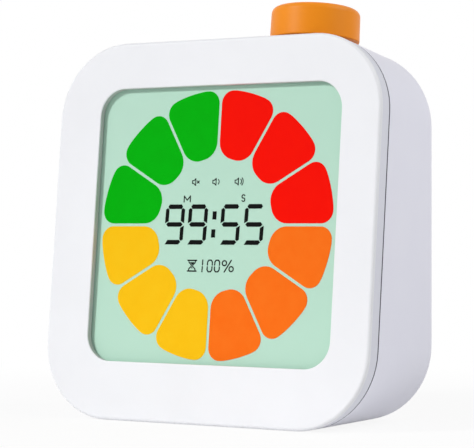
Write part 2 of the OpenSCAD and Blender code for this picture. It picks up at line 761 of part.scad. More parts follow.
module encoder_screws() color("silver") for (side = [-1, 1])
  at_top(knob_x + side * enc_screw_x, enc_base - pcb_t, knob_q) mirror([0, 0, 1]) small_screw();

module encoder_body() color("silver") at_top(knob_x, enc_base, knob_q) difference() {
  union() {
    translate([-enc_w / 2, -enc_w / 2, 0]) cube([enc_w, enc_w, enc_h]);
    cylinder(r = bush_r, h = enc_h + bush_h);
  }
  translate([0, 0, enc_floor]) cylinder(r = enc_cavity_r, h = enc_h - enc_floor - enc_ceiling);
  translate([0, 0, enc_floor]) cylinder(r = shaft_r + shaft_fit, h = enc_h + bush_h);
}

shaft_lift = enc_h - enc_ceiling - flange_h - 0.1;   // underside of the flange above the base
rotor_lift = shaft_lift - press_travel - 0.1 - rotor_h;
drive_lift = enc_floor + dome_h + press_travel + 0.1;

module encoder_rotor() color("ivory") at_top(knob_x, enc_base + rotor_lift, knob_q) difference() {
  cylinder(r = rotor_r, h = rotor_h);
  translate([0, 0, rotor_h / 2])
    cube([drive_w + 2 * shaft_fit, drive_w + 2 * shaft_fit, 2 * rotor_h], center = true);
}

module encoder_shaft() color("silver") at_top(knob_x, enc_base, knob_q) difference() {
  union() {
    translate([-drive_w / 2, -drive_w / 2, drive_lift])
      cube([drive_w, drive_w, shaft_lift - drive_lift + bite]);
    translate([0, 0, shaft_lift]) cylinder(r = flange_r, h = flange_h);
    translate([0, 0, shaft_lift]) cylinder(r = shaft_r, h = shaft_top - enc_base - shaft_lift);
  }
  translate([shaft_flat, -shaft_r, knob_base + hub_lift - enc_base]) cube(2 * shaft_top);
}

module press_dome() color("gold") at_top(knob_x, enc_base + enc_floor, knob_q) intersection() {
  difference() {
    translate([0, 0, dome_h - 3 * dome_r]) sphere(3 * dome_r);
    translate([0, 0, dome_h - 3 * dome_r]) sphere(3 * dome_r - dome_t);
  }
  cylinder(r = dome_r, h = dome_h);
}

module knob_profile() polygon(concat([[0, 0], [knob_r - knob_edge, 0], [knob_r, knob_edge]],
  [for (a = [0:9:90]) [knob_top_r - knob_round * (1 - cos(a)), knob_h - knob_round * (1 - sin(a))]],
  [[0, knob_h]]));

module knob() color("orange") at_top(knob_x, knob_base, knob_q) difference() {
  rotate_extrude($fn = 96) knob_profile();
  difference() {
    translate([0, 0, -skin]) cylinder(r = knob_top_r - knob_wall, h = knob_h - knob_top_wall);
    translate([0, 0, hub_lift]) cylinder(r = hub_r, h = knob_h);
  }
  difference() {
    translate([0, 0, -skin]) cylinder(r = shaft_r + flat_fit, h = knob_h - knob_top_wall);
    translate([shaft_flat + flat_fit, -knob_r, -knob_h]) cube(3 * knob_r);
  }
}

ribbon_w = 6;
ribbon_t = 0.6;

module encoder_ribbon() color("lightgray") let (q = knob_q + 4, t = enc_base - pcb_t)
  lead(knob_x, ribbon_w, ribbon_t, [for (p = [[t - ribbon_t / 2, q], [t - 4, q], [t - 8, q - 3],
    [t - 9, q - 7], [t - 9, board_back + ribbon_t / 2]]) [face_y(p[0], p[1]), face_z(p[0], p[1])]]);

// ---- sound switch ----

switch_back = can_q + can_d + switch_board_t;

module switch_board() color("seagreen") at_rear(switch_x, switch_z, switch_back) difference() {
  linear_extrude(switch_board_t) square([switch_board_w, switch_board_h], center = true);
  both_sides(switch_screw_x) translate([0, 0, -skin])
    cylinder(r = small_screw_r + hole_play, h = 2 * switch_board_t);
}

module switch_screws() color("silver") at_rear(switch_x, switch_z, switch_back)
  both_sides(switch_screw_x) mirror([0, 0, 1])
    screw(small_screw_r, can_d, small_head_r, small_head_h);

module switch_can() color("silver") at_rear(switch_x, switch_z, can_q + can_d) difference() {
  linear_extrude(can_d) square([can_w, can_h], center = true);
  translate([0, 0, -skin]) linear_extrude(can_d - can_wall)
    square([can_w - 2 * can_wall, can_h - 2 * can_wall], center = true);
  linear_extrude(can_d + bite)
    square([stem_w + 2 * switch_travel + 2 * hole_play, stem_h + 2 * hole_play], center = true);
}

tab_rib = [0.4, 2 * tab_h, 0.5];

module switch_slider() color("dimgray") {
  at_rear(switch_x, switch_z, can_q + can_wall + hole_play + shoe_h) {
    linear_extrude(shoe_h) square([tab_w, can_h - 2 * can_wall - 2 * hole_play], center = true);
    linear_extrude(can_q + shoe_h - pocket_d) square([stem_w, stem_h], center = true);
  }
  at_rear(switch_x, switch_z, can_q - hole_play) difference() {
    linear_extrude(can_q - hole_play - tab_q) square([tab_w, tab_h], center = true);
    for (i = [-1:1]) translate([i * tab_w / 4, 0, can_q - hole_play - tab_q]) cube(tab_rib, center = true);
  }
}

wire_d = 1.1;
solder_t = wire_d / 2;

// A lead's last stretch: a point at its socket's mouth, off by the given depth, and one inside.
function to_socket(s, off) = [[face_y(s[1], socket_q + off), face_z(s[1], socket_q + off)],
  [face_y(s[1], socket_q - 1), face_z(s[1], socket_q - 1)]];

module switch_leads() color("firebrick") let (y = rear_y - switch_back)
  lead(switch_x, 3 * wire_d, wire_d, concat([[y - solder_t, switch_z], [y - 3, switch_z - 0.4],
    [y - 6, switch_z - 3]], to_socket(SOCKETS[1], 2.5)));

// ---- speaker ----

speaker_back = wall + speaker_rim_t + speaker_cup_h;
magnet_r = 5;
magnet_h = 1.6;
cone_r = speaker_cup_r - 0.6;
cone_mid = 4;

module speaker_frame() color("silver") at_rear(speaker_x, speaker_z, speaker_back)
  difference() {
    union() {
      cylinder(r = speaker_cup_r, h = speaker_cup_h + bite);
      translate([0, 0, speaker_cup_h]) cylinder(r = speaker_r, h = speaker_rim_t);
    }
    translate([0, 0, speaker_cup_wall])
      cylinder(r = speaker_cup_r - speaker_cup_wall, h = speaker_cup_h + speaker_rim_t);
  }

module speaker_magnet() color("dimgray")
  at_rear(speaker_x, speaker_z, speaker_back - speaker_cup_wall) cylinder(r = magnet_r, h = magnet_h);

module speaker_cone() color("black") at_rear(speaker_x, speaker_z, wall + speaker_rim_t) rotate_extrude()
  polygon([[0, -0.9], [cone_mid, -0.3], [cone_r - 0.3, 0.3], [cone_r, 0.6], [cone_r, 0.75],
    [cone_r - 0.5, 0.55], [cone_mid, 0], [0, -0.6]]);

module speaker_leads() color("firebrick") let (y = rear_y - speaker_back, z = speaker_z - 5)
  lead(speaker_x, 2 * wire_d, wire_d, concat([[y - solder_t, z], [y - 3, z - 0.5]],
    to_socket(SOCKETS[0], 3)));

// ---- cells ----

module cell() {
  cylinder(r = cell_r, h = cell_len - nub_h);
  cylinder(r = nub_r, h = cell_len);
}

cell_d = wall + cell_gap + cell_r;
plate_w = 1.7 * cell_r;
spring_wire = 0.35;
spring_r = 3.6;
spring_tip_r = 2.2;
spring_turns = 4;

// A place on the centre line of the upper (row 1) or lower (row -1) cell.
module at_cell(x, row) translate([x, rear_y - cell_d, bay_z + row * (cell_r + cell_gap / 2)])
  children();

module aaa_cells() color("slategray") for (side = [-1, 1])
  at_cell(side * (bay_w / 2 - plate_t - fit_gap), side) rotate([0, side * 90, 0])
    translate([0, 0, -cell_len]) cell();

module contact_plates() color("gold") for (end = [-1, 1], row = [-1, 1])
  at_cell(end * (bay_w - plate_t) / 2, row) cube([plate_t, plate_w, plate_w], center = true);

// Conical spring along Z, wide end first, as a swept ring of points.
module contact_spring(r_wide, r_small, h, turns) {
  steps = 18 * turns;
  sides = 6;
  ring = function(i) let (f = i / steps, a = 360 * turns * f, r = r_wide + (r_small - r_wide) * f)
    [for (k = [0:sides - 1]) let (b = 360 * k / sides)
      [(r + spring_wire * cos(b)) * cos(a), (r + spring_wire * cos(b)) * sin(a),
        h * f + spring_wire * sin(b)]];
  polyhedron(
    points = [for (i = [0:steps]) each ring(i)],
    faces = concat([[for (k = [0:sides - 1]) k]], [[for (k = [sides - 1:-1:0]) steps * sides + k]],
      [for (i = [0:steps - 1], k = [0:sides - 1]) let (n = (k + 1) % sides)
        [i * sides + n, i * sides + k, (i + 1) * sides + k, (i + 1) * sides + n]]));
}

module contact_springs() color("silver") for (side = [-1, 1])
  at_cell(-side * (bay_w / 2 - plate_t - spring_wire), side) rotate([0, side * 90, 0])
    contact_spring(spring_r, spring_tip_r, spring_len - 2 * spring_wire, spring_turns);

module battery_leads() color("firebrick") let (y = rear_y - bay_d - bay_floor, z = bay_z + 6)
  lead(lead_x, 2 * wire_d, wire_d, concat([[y - solder_t, z], [y - 2, z]],
    to_socket(SOCKETS[2], 1.5)));

front_bezel();
rear_shell();
battery_door();
shell_screws();
lcd_gasket();
lcd_front_film();
petals_green();
petals_yellow();
petals_orange();
petals_red();
time_digits();
status_signs();
lcd_front_glass();
lcd_rear_glass();
lcd_reflector();
lcd_frame();
contact_strips();
main_board();
controller_chip();
clock_crystal();
filter_capacitor();
board_chips();
lead_sockets();
board_screws();
encoder_board();
encoder_screws();
encoder_body();
encoder_rotor();
encoder_shaft();
press_dome();
knob();
encoder_ribbon();
switch_board();
switch_screws();
switch_can();
switch_slider();
switch_leads();
speaker_frame();
speaker_magnet();
speaker_cone();
speaker_leads();
aaa_cells();
contact_plates();
contact_springs();
battery_leads();
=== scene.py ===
"""Looks of a visual countdown timer: a white shell, a green display and an orange knob.

Sizes are in millimetres while a piece is being made, and a finished piece is brought to metres.
"""

from __future__ import annotations

import json
import logging
import math
from contextlib import contextmanager
from dataclasses import dataclass
from enum import Enum
from typing import Callable, Iterator, Sequence

import bmesh
import bpy
from mathutils import Matrix, Vector


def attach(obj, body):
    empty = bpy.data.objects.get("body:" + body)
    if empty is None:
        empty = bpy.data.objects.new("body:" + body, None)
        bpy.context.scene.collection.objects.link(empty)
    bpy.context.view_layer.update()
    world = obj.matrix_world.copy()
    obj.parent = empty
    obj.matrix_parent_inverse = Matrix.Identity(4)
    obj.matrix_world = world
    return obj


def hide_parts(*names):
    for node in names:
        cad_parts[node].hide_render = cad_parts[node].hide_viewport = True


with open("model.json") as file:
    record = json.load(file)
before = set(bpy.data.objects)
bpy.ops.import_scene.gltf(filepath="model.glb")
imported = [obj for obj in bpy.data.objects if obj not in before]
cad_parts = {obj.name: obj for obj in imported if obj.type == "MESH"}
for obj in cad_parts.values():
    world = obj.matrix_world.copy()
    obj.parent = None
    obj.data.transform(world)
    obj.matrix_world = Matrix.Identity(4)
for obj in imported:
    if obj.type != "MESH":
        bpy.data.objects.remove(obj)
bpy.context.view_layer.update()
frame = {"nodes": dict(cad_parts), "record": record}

Obj = bpy.types.Object
Node = bpy.types.Node
Socket = bpy.types.NodeSocket
Tree = bpy.types.NodeTree
Pair = tuple[float, float]
Triple = tuple[float, float, float]
Quad = tuple[float, float, float, float]
Profile = Sequence[Pair]
Inputs = dict[str | int, object]
Test = Callable[[Vector, Vector], bool]

LOG = logging.getLogger("timer")
MM = 0.001
WELD = 0.0005  # points nearer than this are merged
NEAR = 0.02  # how near a plane or line a point counts as on it
PROUD = 1.0  # how far a tool stands out of the surface it cuts
DRILL_PROUD = 3.0  # the same for a drill
FLAT = 0.999  # least cosine for a face that lies square to a direction
FACING = 0.9  # least cosine for a face that only looks that way
ALONG = 0.1  # most cosine for a face that stands along a direction
ENDWAYS = 0.5  # least cosine for a face at the end of a cell
SHARP = math.radians(40.0)  # least angle of an edge that is softened
CREASE = math.radians(32.0)  # least angle of an edge that stays sharp in the shading
QUARTER = math.pi / 2
SIDES = (-1, 1)
WHITE = (1, 1, 1, 1)


# ---- workbench ----


def drop_selection() -> None:
    """Leaves nothing selected."""
    bpy.ops.object.select_all(action="DESELECT")


def take(*objs: Obj) -> None:
    """Selects these objects only and makes the first one active.

    Args:
        objs: The objects to work on.
    """
    drop_selection()
    for obj in objs:
        obj.select_set(True)
    bpy.context.view_layer.objects.active = objs[0]


@contextmanager
def editing(obj: Obj) -> Iterator[None]:
    """Opens a mesh in edit mode with nothing selected, and closes it again.

    Args:
        obj: The mesh object.
    """
    take(obj)
    bpy.ops.object.mode_set(mode="EDIT")
    bpy.ops.mesh.select_mode(type="FACE")
    bpy.ops.mesh.select_all(action="DESELECT")
    try:
        yield
    finally:
        bpy.ops.object.mode_set(mode="OBJECT")


def pick_all() -> None:
    """Selects the whole mesh in edit mode."""
    bpy.ops.mesh.select_all(action="SELECT")


def pick_faces(obj: Obj, test: Test) -> None:
    """Selects the faces of the mesh in edit mode that pass a test.

    Args:
        obj: The mesh object, in edit mode.
        test: Takes a face's centre and normal.
    """
    bpy.ops.mesh.select_mode(type="FACE")
    mesh = bmesh.from_edit_mesh(obj.data)
    mesh.normal_update()
    for face in mesh.faces:
        face.select_set(test(face.calc_center_median(), face.normal))
    bmesh.update_edit_mesh(obj.data)


def pick_top(obj: Obj, z: float) -> None:
    """Selects the flat face at a height, the topmost of the mesh in edit mode."""
    pick_faces(obj, lambda c, n: c.z > z - NEAR and abs(n.z) > FLAT)


def pick_edges(obj: Obj, test: Callable[[Vector, Vector, bool, float], bool]) -> None:
    """Selects the edges of the mesh in edit mode that pass a test.

    Args:
        obj: The mesh object, in edit mode.
        test: Takes both ends, whether the edge is open, and the angle between its faces.
    """
    bpy.ops.mesh.select_mode(type="EDGE")
    bpy.ops.mesh.select_all(action="DESELECT")
    mesh = bmesh.from_edit_mesh(obj.data)
    mesh.normal_update()
    for edge in mesh.edges:
        a, b = edge.verts
        if test(a.co, b.co, edge.is_boundary, edge.calc_face_angle(0.0)):
            edge.select_set(True)
    bmesh.update_edit_mesh(obj.data)


def bridge_open(obj: Obj, test: Test = lambda a, b: True) -> None:
    """Bridges the two open loops whose edges' ends pass a test, in edit mode."""
    pick_edges(obj, lambda a, b, is_open, angle: is_open and test(a, b))
    bpy.ops.mesh.bridge_edge_loops()


def put(obj: Obj, place: Matrix) -> Obj:
    """Moves an object to its place and keeps that place in its mesh.

    Args:
        obj: The object, made about the origin.
        place: Where it goes.

    Returns:
        The same object, at the origin and unturned.
    """
    take(obj)
    obj.matrix_world = place
    bpy.ops.object.transform_apply()
    return obj


def across(x: float, y: float, z: float, way: int = 1) -> Matrix:
    """A place with local Z along X, or against it where the way is -1."""
    return Matrix.Translation((x, y, z)) @ Matrix.Rotation(way * QUARTER, 4, "Y")


def join(*objs: Obj) -> Obj:
    """Joins meshes into the first one.

    Args:
        objs: The objects to join.

    Returns:
        The joined object.
    """
    take(*objs)
    bpy.ops.object.join()
    return objs[0]


def face_outwards(obj: Obj) -> None:
    """Merges doubled points and turns all faces outwards.

    Args:
        obj: A closed mesh.
    """
    with editing(obj):
        pick_all()
        bpy.ops.mesh.remove_doubles(threshold=WELD)
        bpy.ops.mesh.normals_make_consistent(inside=False)


class Join(Enum):
    """What a Boolean modifier does with its tool."""

    CUT = "DIFFERENCE"
    ADD = "UNION"
    TRIM = "INTERSECT"


def combine(obj: Obj, tool: Obj, how: Join) -> None:
    """Cuts, adds or trims with a tool, and throws the tool away.

    Args:
        obj: The mesh to change.
        tool: A closed mesh.
        how: What to do with it.
    """
    take(obj)
    modifier = obj.modifiers.new("tool", "BOOLEAN")
    modifier.operation = how.value
    modifier.object = tool
    modifier.solver = "EXACT"
    bpy.ops.object.modifier_apply(modifier=modifier.name)
    bpy.data.objects.remove(tool)


def plate(name: str, width: float, low: float, high: float, radius: float, z: float = 0.0,
          steps: int = 16, square_top: bool = False) -> Obj:
    """A flat rounded outline with one face, square to local Z.

    Args:
        name: The object's name.
        width: Its width, about X = 0.
        low: Its lower edge.
        high: Its upper edge.
        radius: The radius of its corners.
        z: Its height.
        steps: Segments in each corner.
        square_top: True to leave the two upper corners square.

    Returns:
        The outline.
    """
    drop_selection()
    bpy.ops.mesh.primitive_plane_add(size=1.0, location=(0, (low + high) / 2, z))
    obj = bpy.context.object
    obj.name = name
    obj.scale = (width, high - low, 1)
    bpy.ops.object.transform_apply()
    with editing(obj):
        bpy.ops.mesh.select_mode(type="VERT")
        mesh = bmesh.from_edit_mesh(obj.data)
        for vert in mesh.verts:
            vert.select_set(not square_top or vert.co.y < low + NEAR)
        bmesh.update_edit_mesh(obj.data)
        bpy.ops.mesh.bevel(offset=radius, segments=steps, affect="VERTICES", clamp_overlap=False)
    return obj


def round_over(radius: float, steps: int, sink: bool = False) -> None:
    """Rounds the edge of the selected flat face over, in edit mode.

    Args:
        radius: The radius of the round.
        steps: Segments in the quarter turn.
        sink: True for a round that rolls down into an opening.
    """
    for i in range(steps):
        a, b = (math.radians(90 * k / steps) for k in (i, i + 1))
        rise, run = radius * (math.sin(b) - math.sin(a)), radius * (math.cos(a) - math.cos(b))
        if sink:
            bpy.ops.mesh.inset(thickness=rise, depth=-run)
        else:
            bpy.ops.mesh.inset(thickness=run, depth=rise)


def pull(move: Sequence[float]) -> None:
    """Extrudes the selected faces by a vector, in edit mode."""
    bpy.ops.mesh.extrude_region_move(TRANSFORM_OT_translate={"value": tuple(move)})


def block(name: str, size: Sequence[float], radius: float, low: float, high: float,
          steps: int) -> Obj:
    """A block about local Z, with its upright edges rounded.

    Args:
        name: The object's name.
        size: Its sides along X and Y.
        radius: The radius of its edges.
        low: Its lower end.
        high: Its upper end.
        steps: Segments in each edge.

    Returns:
        The block.
    """
    width, height = size
    obj = plate(name, width, -height / 2, height / 2, radius, low, steps)
    with editing(obj):
        pick_all()
        pull((0, 0, high - low))
    face_outwards(obj)
    return obj


def flared(flat: Obj, depth: float, flare: float = 0.2) -> Obj:
    """A flat outline made the tool for a pocket whose mouth opens a little at Z = 0.

    Args:
        flat: The outline, at the pocket's floor.
        depth: The pocket's depth.
        flare: How much the mouth opens.

    Returns:
        The same object, closed.
    """
    with editing(flat):
        pick_all()
        pull((0, 0, depth - flare))
        pick_top(flat, -flare)
        bpy.ops.mesh.inset(thickness=flare, depth=flare, use_outset=True)
        pick_top(flat, 0.0)
        pull((0, 0, PROUD))
    face_outwards(flat)
    return flat


def lathe(name: str, profile: Profile, sides: int = 32) -> Obj:
    """A turned piece about local Z, closed by a flat face at each end of its profile.

    Args:
        name: The object's name.
        profile: Radius and height of each ring in turn.
        sides: Segments around.

    Returns:
        The piece.
    """
    drop_selection()
    (radius, z), *rest = profile
    bpy.ops.mesh.primitive_circle_add(vertices=sides, radius=radius, fill_type="NGON",
                                      location=(0, 0, z))
    obj = bpy.context.object
    obj.name = name
    put(obj, obj.matrix_world.copy())
    with editing(obj):
        pick_all()
        for next_radius, next_z in rest:
            pull((0, 0, next_z - z))
            if next_radius != radius:
                grow = next_radius / radius
                bpy.ops.transform.resize(value=(grow, grow, 1), center_override=(0, 0, next_z))
            radius, z = next_radius, next_z
    face_outwards(obj)
    return obj


def arc(radius: float, steps: int, centre: Pair, start: float, end: float) -> list[Pair]:
    """Points of an arc in a profile, from one angle in degrees to another, both from outward."""
    angles = [math.radians(start + (end - start) * i / steps) for i in range(steps + 1)]
    return [(centre[0] + radius * math.cos(a), centre[1] + radius * math.sin(a)) for a in angles]


def hole(radius: float, depth: float, flare: float, sides: int) -> Obj:
    """A drill that points down from Z = 0, for a hole whose mouth opens by the flare."""
    return lathe("drill", [(radius, -depth), (radius, -flare), (radius + flare, 0.0),
                           (radius + flare, DRILL_PROUD)], sides)


def soften(obj: Obj, width: float, steps: int, test: Test) -> None:
    """Bevels the sharp edges that pass a test.

    Args:
        obj: The mesh.
        width: The bevel's width.
        steps: Its segments.
        test: Takes both ends of an edge.
    """
    with editing(obj):
        pick_edges(obj, lambda a, b, is_open, angle: angle > SHARP and test(a, b))
        bpy.ops.mesh.bevel(offset=width, offset_type="OFFSET", segments=steps, profile=0.5,
                           affect="EDGES", clamp_overlap=True)


# ---- finishes ----


def linear(colour: Triple) -> Quad:
    """A colour of 0 to 255 in the light's own linear scale, with an alpha of 1."""
    parts = (c / 255 for c in colour)
    return *(c / 12.92 if c <= 0.04045 else ((c + 0.055) / 1.055) ** 2.4 for c in parts), 1.0


def feed(tree: Tree, node: Node, inputs: Inputs) -> None:
    """Sets or links a node's inputs.

    Args:
        tree: The node tree.
        node: The node.
        inputs: For each input, its value or the output that it takes.
    """
    for key, value in inputs.items():
        if isinstance(value, Socket):
            tree.links.new(value, node.inputs[key])
        else:
            node.inputs[key].default_value = value


def add_node(tree: Tree, kind: str, inputs: Inputs) -> Node:
    """Adds a node and feeds it.

    Args:
        tree: The node tree.
        kind: The node's type.
        inputs: For each input, its value or the output that it takes.

    Returns:
        The node.
    """
    node = tree.nodes.new(kind)
    feed(tree, node, inputs)
    return node


def mix_into(tree: Tree, end: str, share: Socket, first: Node, second: Node) -> None:
    """Mixes two shaders, with the share of the second, into the end of a tree."""
    mix = add_node(tree, "ShaderNodeMixShader",
                   {"Fac": share, 1: first.outputs[0], 2: second.outputs[0]})
    feed(tree, tree.nodes[end], {"Surface": mix.outputs[0]})


class Pattern(Enum):
    """How a finish varies over a surface: the texture's node, its output and its own inputs.

    Brushed metal is clouds that the finish stretches.
    """

    CLOUDS = BRUSHED = ("ShaderNodeTexNoise", "Fac", {"Detail": 3.0})
    CELLS = ("ShaderNodeTexVoronoi", "Distance", {})
    LAYERS = ("ShaderNodeTexWave", "Fac", {"Distortion": 0.2})
    TRACKS = ("ShaderNodeTexBrick", "Color", {
        "Mortar Size": 0.06, "Mortar": WHITE,
        "Color1": (0.1, 0.1, 0.1, 1), "Color2": (0.3, 0.3, 0.3, 1)})


@dataclass(frozen=True)
class Finish:
    """A finish with a colour that varies a little, a roughness that follows it, and a fine grain.

    A scale is the texture's own, on a place in metres, and a stretch multiplies it along each axis.
    """

    slot: str
    colour: Triple
    second: Triple
    pattern: Pattern = Pattern.CLOUDS
    scale: float = 60.0
    stretch: Triple = (1.0, 1.0, 1.0)
    rough: float = 0.4
    rough_spread: float = 0.06
    grain_height: float = 0.00001
    metallic: float = 0.0
    specular: float = 0.5
    coat: float = 0.0
    coat_rough: float = 0.2
    transmission: float = 0.0
    refraction: float = 1.5
    blend: Pair = (0.3, 0.7)
    grain_scale: float = 2200.0
    grain_detail: float = 2.0
    grain_strength: float = 0.3

    def make(self) -> bpy.types.Material:
        """Builds the material.

        Returns:
            The material.
        """
        material = bpy.data.materials.new(self.slot)
        material.use_nodes = True
        tree = material.node_tree
        place = add_node(tree, "ShaderNodeTexCoord", {}).outputs["Object"]
        mapping = add_node(tree, "ShaderNodeMapping", {"Vector": place, "Scale": self.stretch})
        kind, output, own = self.pattern.value
        value = add_node(tree, kind, {
            "Vector": mapping.outputs["Vector"], "Scale": self.scale, **own}).outputs[output]
        ramp = add_node(tree, "ShaderNodeValToRGB", {"Fac": value})
        first, last = ramp.color_ramp.elements
        first.position, last.position = self.blend
        first.color, last.color = linear(self.colour), linear(self.second)
        spread = add_node(tree, "ShaderNodeMapRange", {
            "Value": value, "To Min": self.rough - self.rough_spread,
            "To Max": self.rough + self.rough_spread})
        grain = add_node(tree, "ShaderNodeTexNoise", {
            "Vector": place, "Scale": self.grain_scale, "Detail": self.grain_detail})
        bump = add_node(tree, "ShaderNodeBump", {
            "Height": grain.outputs["Fac"], "Strength": self.grain_strength,
            "Distance": self.grain_height})
        feed(tree, tree.nodes["Principled BSDF"], {
            "Base Color": ramp.outputs["Color"], "Roughness": spread.outputs["Result"],
            "Normal": bump.outputs["Normal"], "Metallic": self.metallic,
            "Specular IOR Level": self.specular, "Coat Weight": self.coat,
            "Coat Roughness": self.coat_rough, "Transmission Weight": self.transmission,
            "IOR": self.refraction})
        return material


FINISHES: tuple[Finish, ...] = (
    Finish("bezel_white", (241, 242, 246), (244, 245, 249), rough=0.42, specular=0.4),
    # painted shade: the bezel's side band is the same white plastic, darkened where the edge turns
    # from the light
    Finish("side_painted_shade", (224, 225, 235), (228, 229, 239), rough=0.45, specular=0.35),
    # painted shade: the window's wall is the same white plastic, painted grey as a wall in shade
    Finish("wall_painted_shade", (186, 191, 188), (191, 196, 193), rough=0.6, specular=0.1),
    Finish("shell_white", (238, 238, 250), (241, 241, 252), rough=0.45, specular=0.4),
    Finish("door_white", (238, 238, 250), (241, 241, 252), rough=0.45, specular=0.4),
    # painted shade: the seam's faces are white plastic, painted grey as the shadow in the gap
    Finish("seam_painted_shade", (128, 128, 138), (138, 138, 148), scale=500, rough=0.8, specular=0.1),
    Finish("knob_orange", (250, 145, 16), (252, 149, 20), rough=0.42, specular=0.24),
    Finish("film_green", (189, 227, 208), (192, 229, 210), scale=45, rough=0.5, specular=0.08),
    Finish("ink_green", (0, 178, 10), (1, 183, 13), scale=300, rough=0.6, specular=0.03),
    Finish("ink_yellow", (254, 196, 18), (255, 200, 24), scale=300, rough=0.6, specular=0.03),
    Finish("ink_orange", (254, 113, 22), (255, 118, 28), scale=300, rough=0.6, specular=0.03),
    Finish("ink_red", (254, 13, 1), (255, 17, 2), scale=300, rough=0.6, specular=0.03),
    Finish("segment_black", (1, 2, 2), (4, 5, 5), scale=700, rough=0.5, specular=0.05),
    Finish("gasket_foam", (58, 60, 64), (84, 87, 92), Pattern.CELLS, 2600, rough=0.9,
           grain_height=0.00006),
    Finish("glass_clear", (236, 246, 242), (240, 249, 246), rough=0.03, rough_spread=0.02,
           grain_height=0.000001, transmission=1.0),
    Finish("reflector_grey", (190, 197, 195), (204, 210, 208), Pattern.BRUSHED, 400, (1, 9, 9),
           rough=0.35, metallic=1.0),
    Finish("frame_plastic", (228, 228, 226), (234, 234, 232)),
    Finish("strip_rubber", (52, 52, 56), (226, 188, 196), Pattern.LAYERS, 450, (1, 0.02, 0.02),
           rough=0.7),
    Finish("board_green", (14, 92, 50), (44, 138, 84), Pattern.TRACKS, 260, rough=0.35, coat=0.3),
    Finish("chip_black", (14, 14, 15), (26, 26, 28), scale=500, rough=0.3),
    Finish("chip_ceramic", (120, 86, 58), (150, 112, 80), scale=900, rough=0.5),
    Finish("can_silver", (188, 190, 194), (214, 216, 219), Pattern.BRUSHED, 500, (1, 1, 14),
           rough=0.3, metallic=1.0),
    Finish("screw_steel", (170, 172, 176), (204, 206, 208), Pattern.BRUSHED, 900, (1, 8, 8),
           rough=0.32, metallic=1.0),
    Finish("spring_steel", (186, 188, 192), (212, 214, 216), scale=1400, rough=0.25, metallic=1.0),
    Finish("contact_brass", (214, 182, 104), (226, 198, 122), Pattern.BRUSHED, 700, (1, 1, 12),
           rough=0.3, metallic=1.0),
    Finish("capacitor_sleeve", (24, 30, 78), (34, 42, 98), scale=300, rough=0.3, coat=0.4),
    Finish("socket_ivory", (228, 220, 196), (236, 230, 210), scale=300),
    Finish("rotor_plastic", (220, 214, 196), (230, 225, 210), scale=300),
    Finish("ribbon_grey", (150, 150, 156), (176, 176, 182), Pattern.LAYERS, 800, (1, 0.02, 0.02),
           rough=0.5),
    Finish("lead_red", (140, 22, 18), (186, 38, 30), Pattern.LAYERS, 450, (1, 0.02, 0.02),
           rough=0.45),
    Finish("slider_grey", (54, 55, 59), (68, 69, 74), scale=500, rough=0.5),
    Finish("magnet_grey", (112, 113, 118), (140, 141, 146), scale=400, rough=0.35, metallic=1.0),
    Finish("cone_black", (18, 18, 20), (36, 36, 39), Pattern.CELLS, 1500, rough=0.6),
    Finish("cell_wrap", (96, 104, 116), (112, 120, 132), scale=120, rough=0.3, coat=0.5),
)


class Finishes:
    """The materials, each made once."""

    def __init__(self, finishes: Sequence[Finish]) -> None:
        """Makes the material of each finish."""
        self.materials = {f.slot: f.make() for f in finishes}

    def dress(self, obj: Obj, slot: str) -> None:
        """Gives an object one finish all over."""
        obj.data.materials.clear()
        obj.data.materials.append(self.materials[slot])

    def touch_in(self, obj: Obj, slot: str, test: Test) -> None:
        """Gives some faces of a piece another finish.

        Args:
            obj: The piece, in metres.
            slot: The finish's slot.
            test: Takes a face's centre in millimetres and its normal.
        """
        obj.data.materials.append(self.materials[slot])
        index = len(obj.data.materials) - 1
        for face in obj.data.polygons:
            if test(face.center / MM, face.normal):
                face.material_index = index


# ---- body ----


@dataclass(frozen=True)
class Tag:
    """A piece's name, the body it rides on, its material slot and the CAD nodes it stands for."""

    name: str
    body: str
    slot: str
    nodes: tuple[str, ...]


class Piece:
    """A piece that is built in millimetres, then finished and dressed."""

    tag: Tag

    def build(self) -> Obj:
        """Makes the piece's mesh, in millimetres."""
        raise NotImplementedError

    def touches(self) -> list[tuple[str, Test]]:
        """The finishes of single faces, each with a test of a face's centre and normal."""
        return []

    def make(self, finishes: Finishes) -> None:
        """Builds the piece, brings it to metres, gives it to its body and dresses it.

        Args:
            finishes: The materials.
        """
        obj, tag = self.build(), self.tag
        obj.name = obj.data.name = tag.name
        put(obj, Matrix.Scale(MM, 4))
        bpy.ops.object.shade_smooth_by_angle(angle=CREASE)
        weighted = obj.modifiers.new("weighted", "WEIGHTED_NORMAL")
        weighted.keep_sharp = True
        bpy.ops.object.modifier_apply(modifier=weighted.name)
        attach(obj, tag.body)
        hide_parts(*tag.nodes)
        finishes.dress(obj, tag.slot)
        for slot, test in self.touches():
            finishes.touch_in(obj, slot, test)
        LOG.info("%s: %d faces on %s", tag.name, len(obj.data.polygons), tag.body)


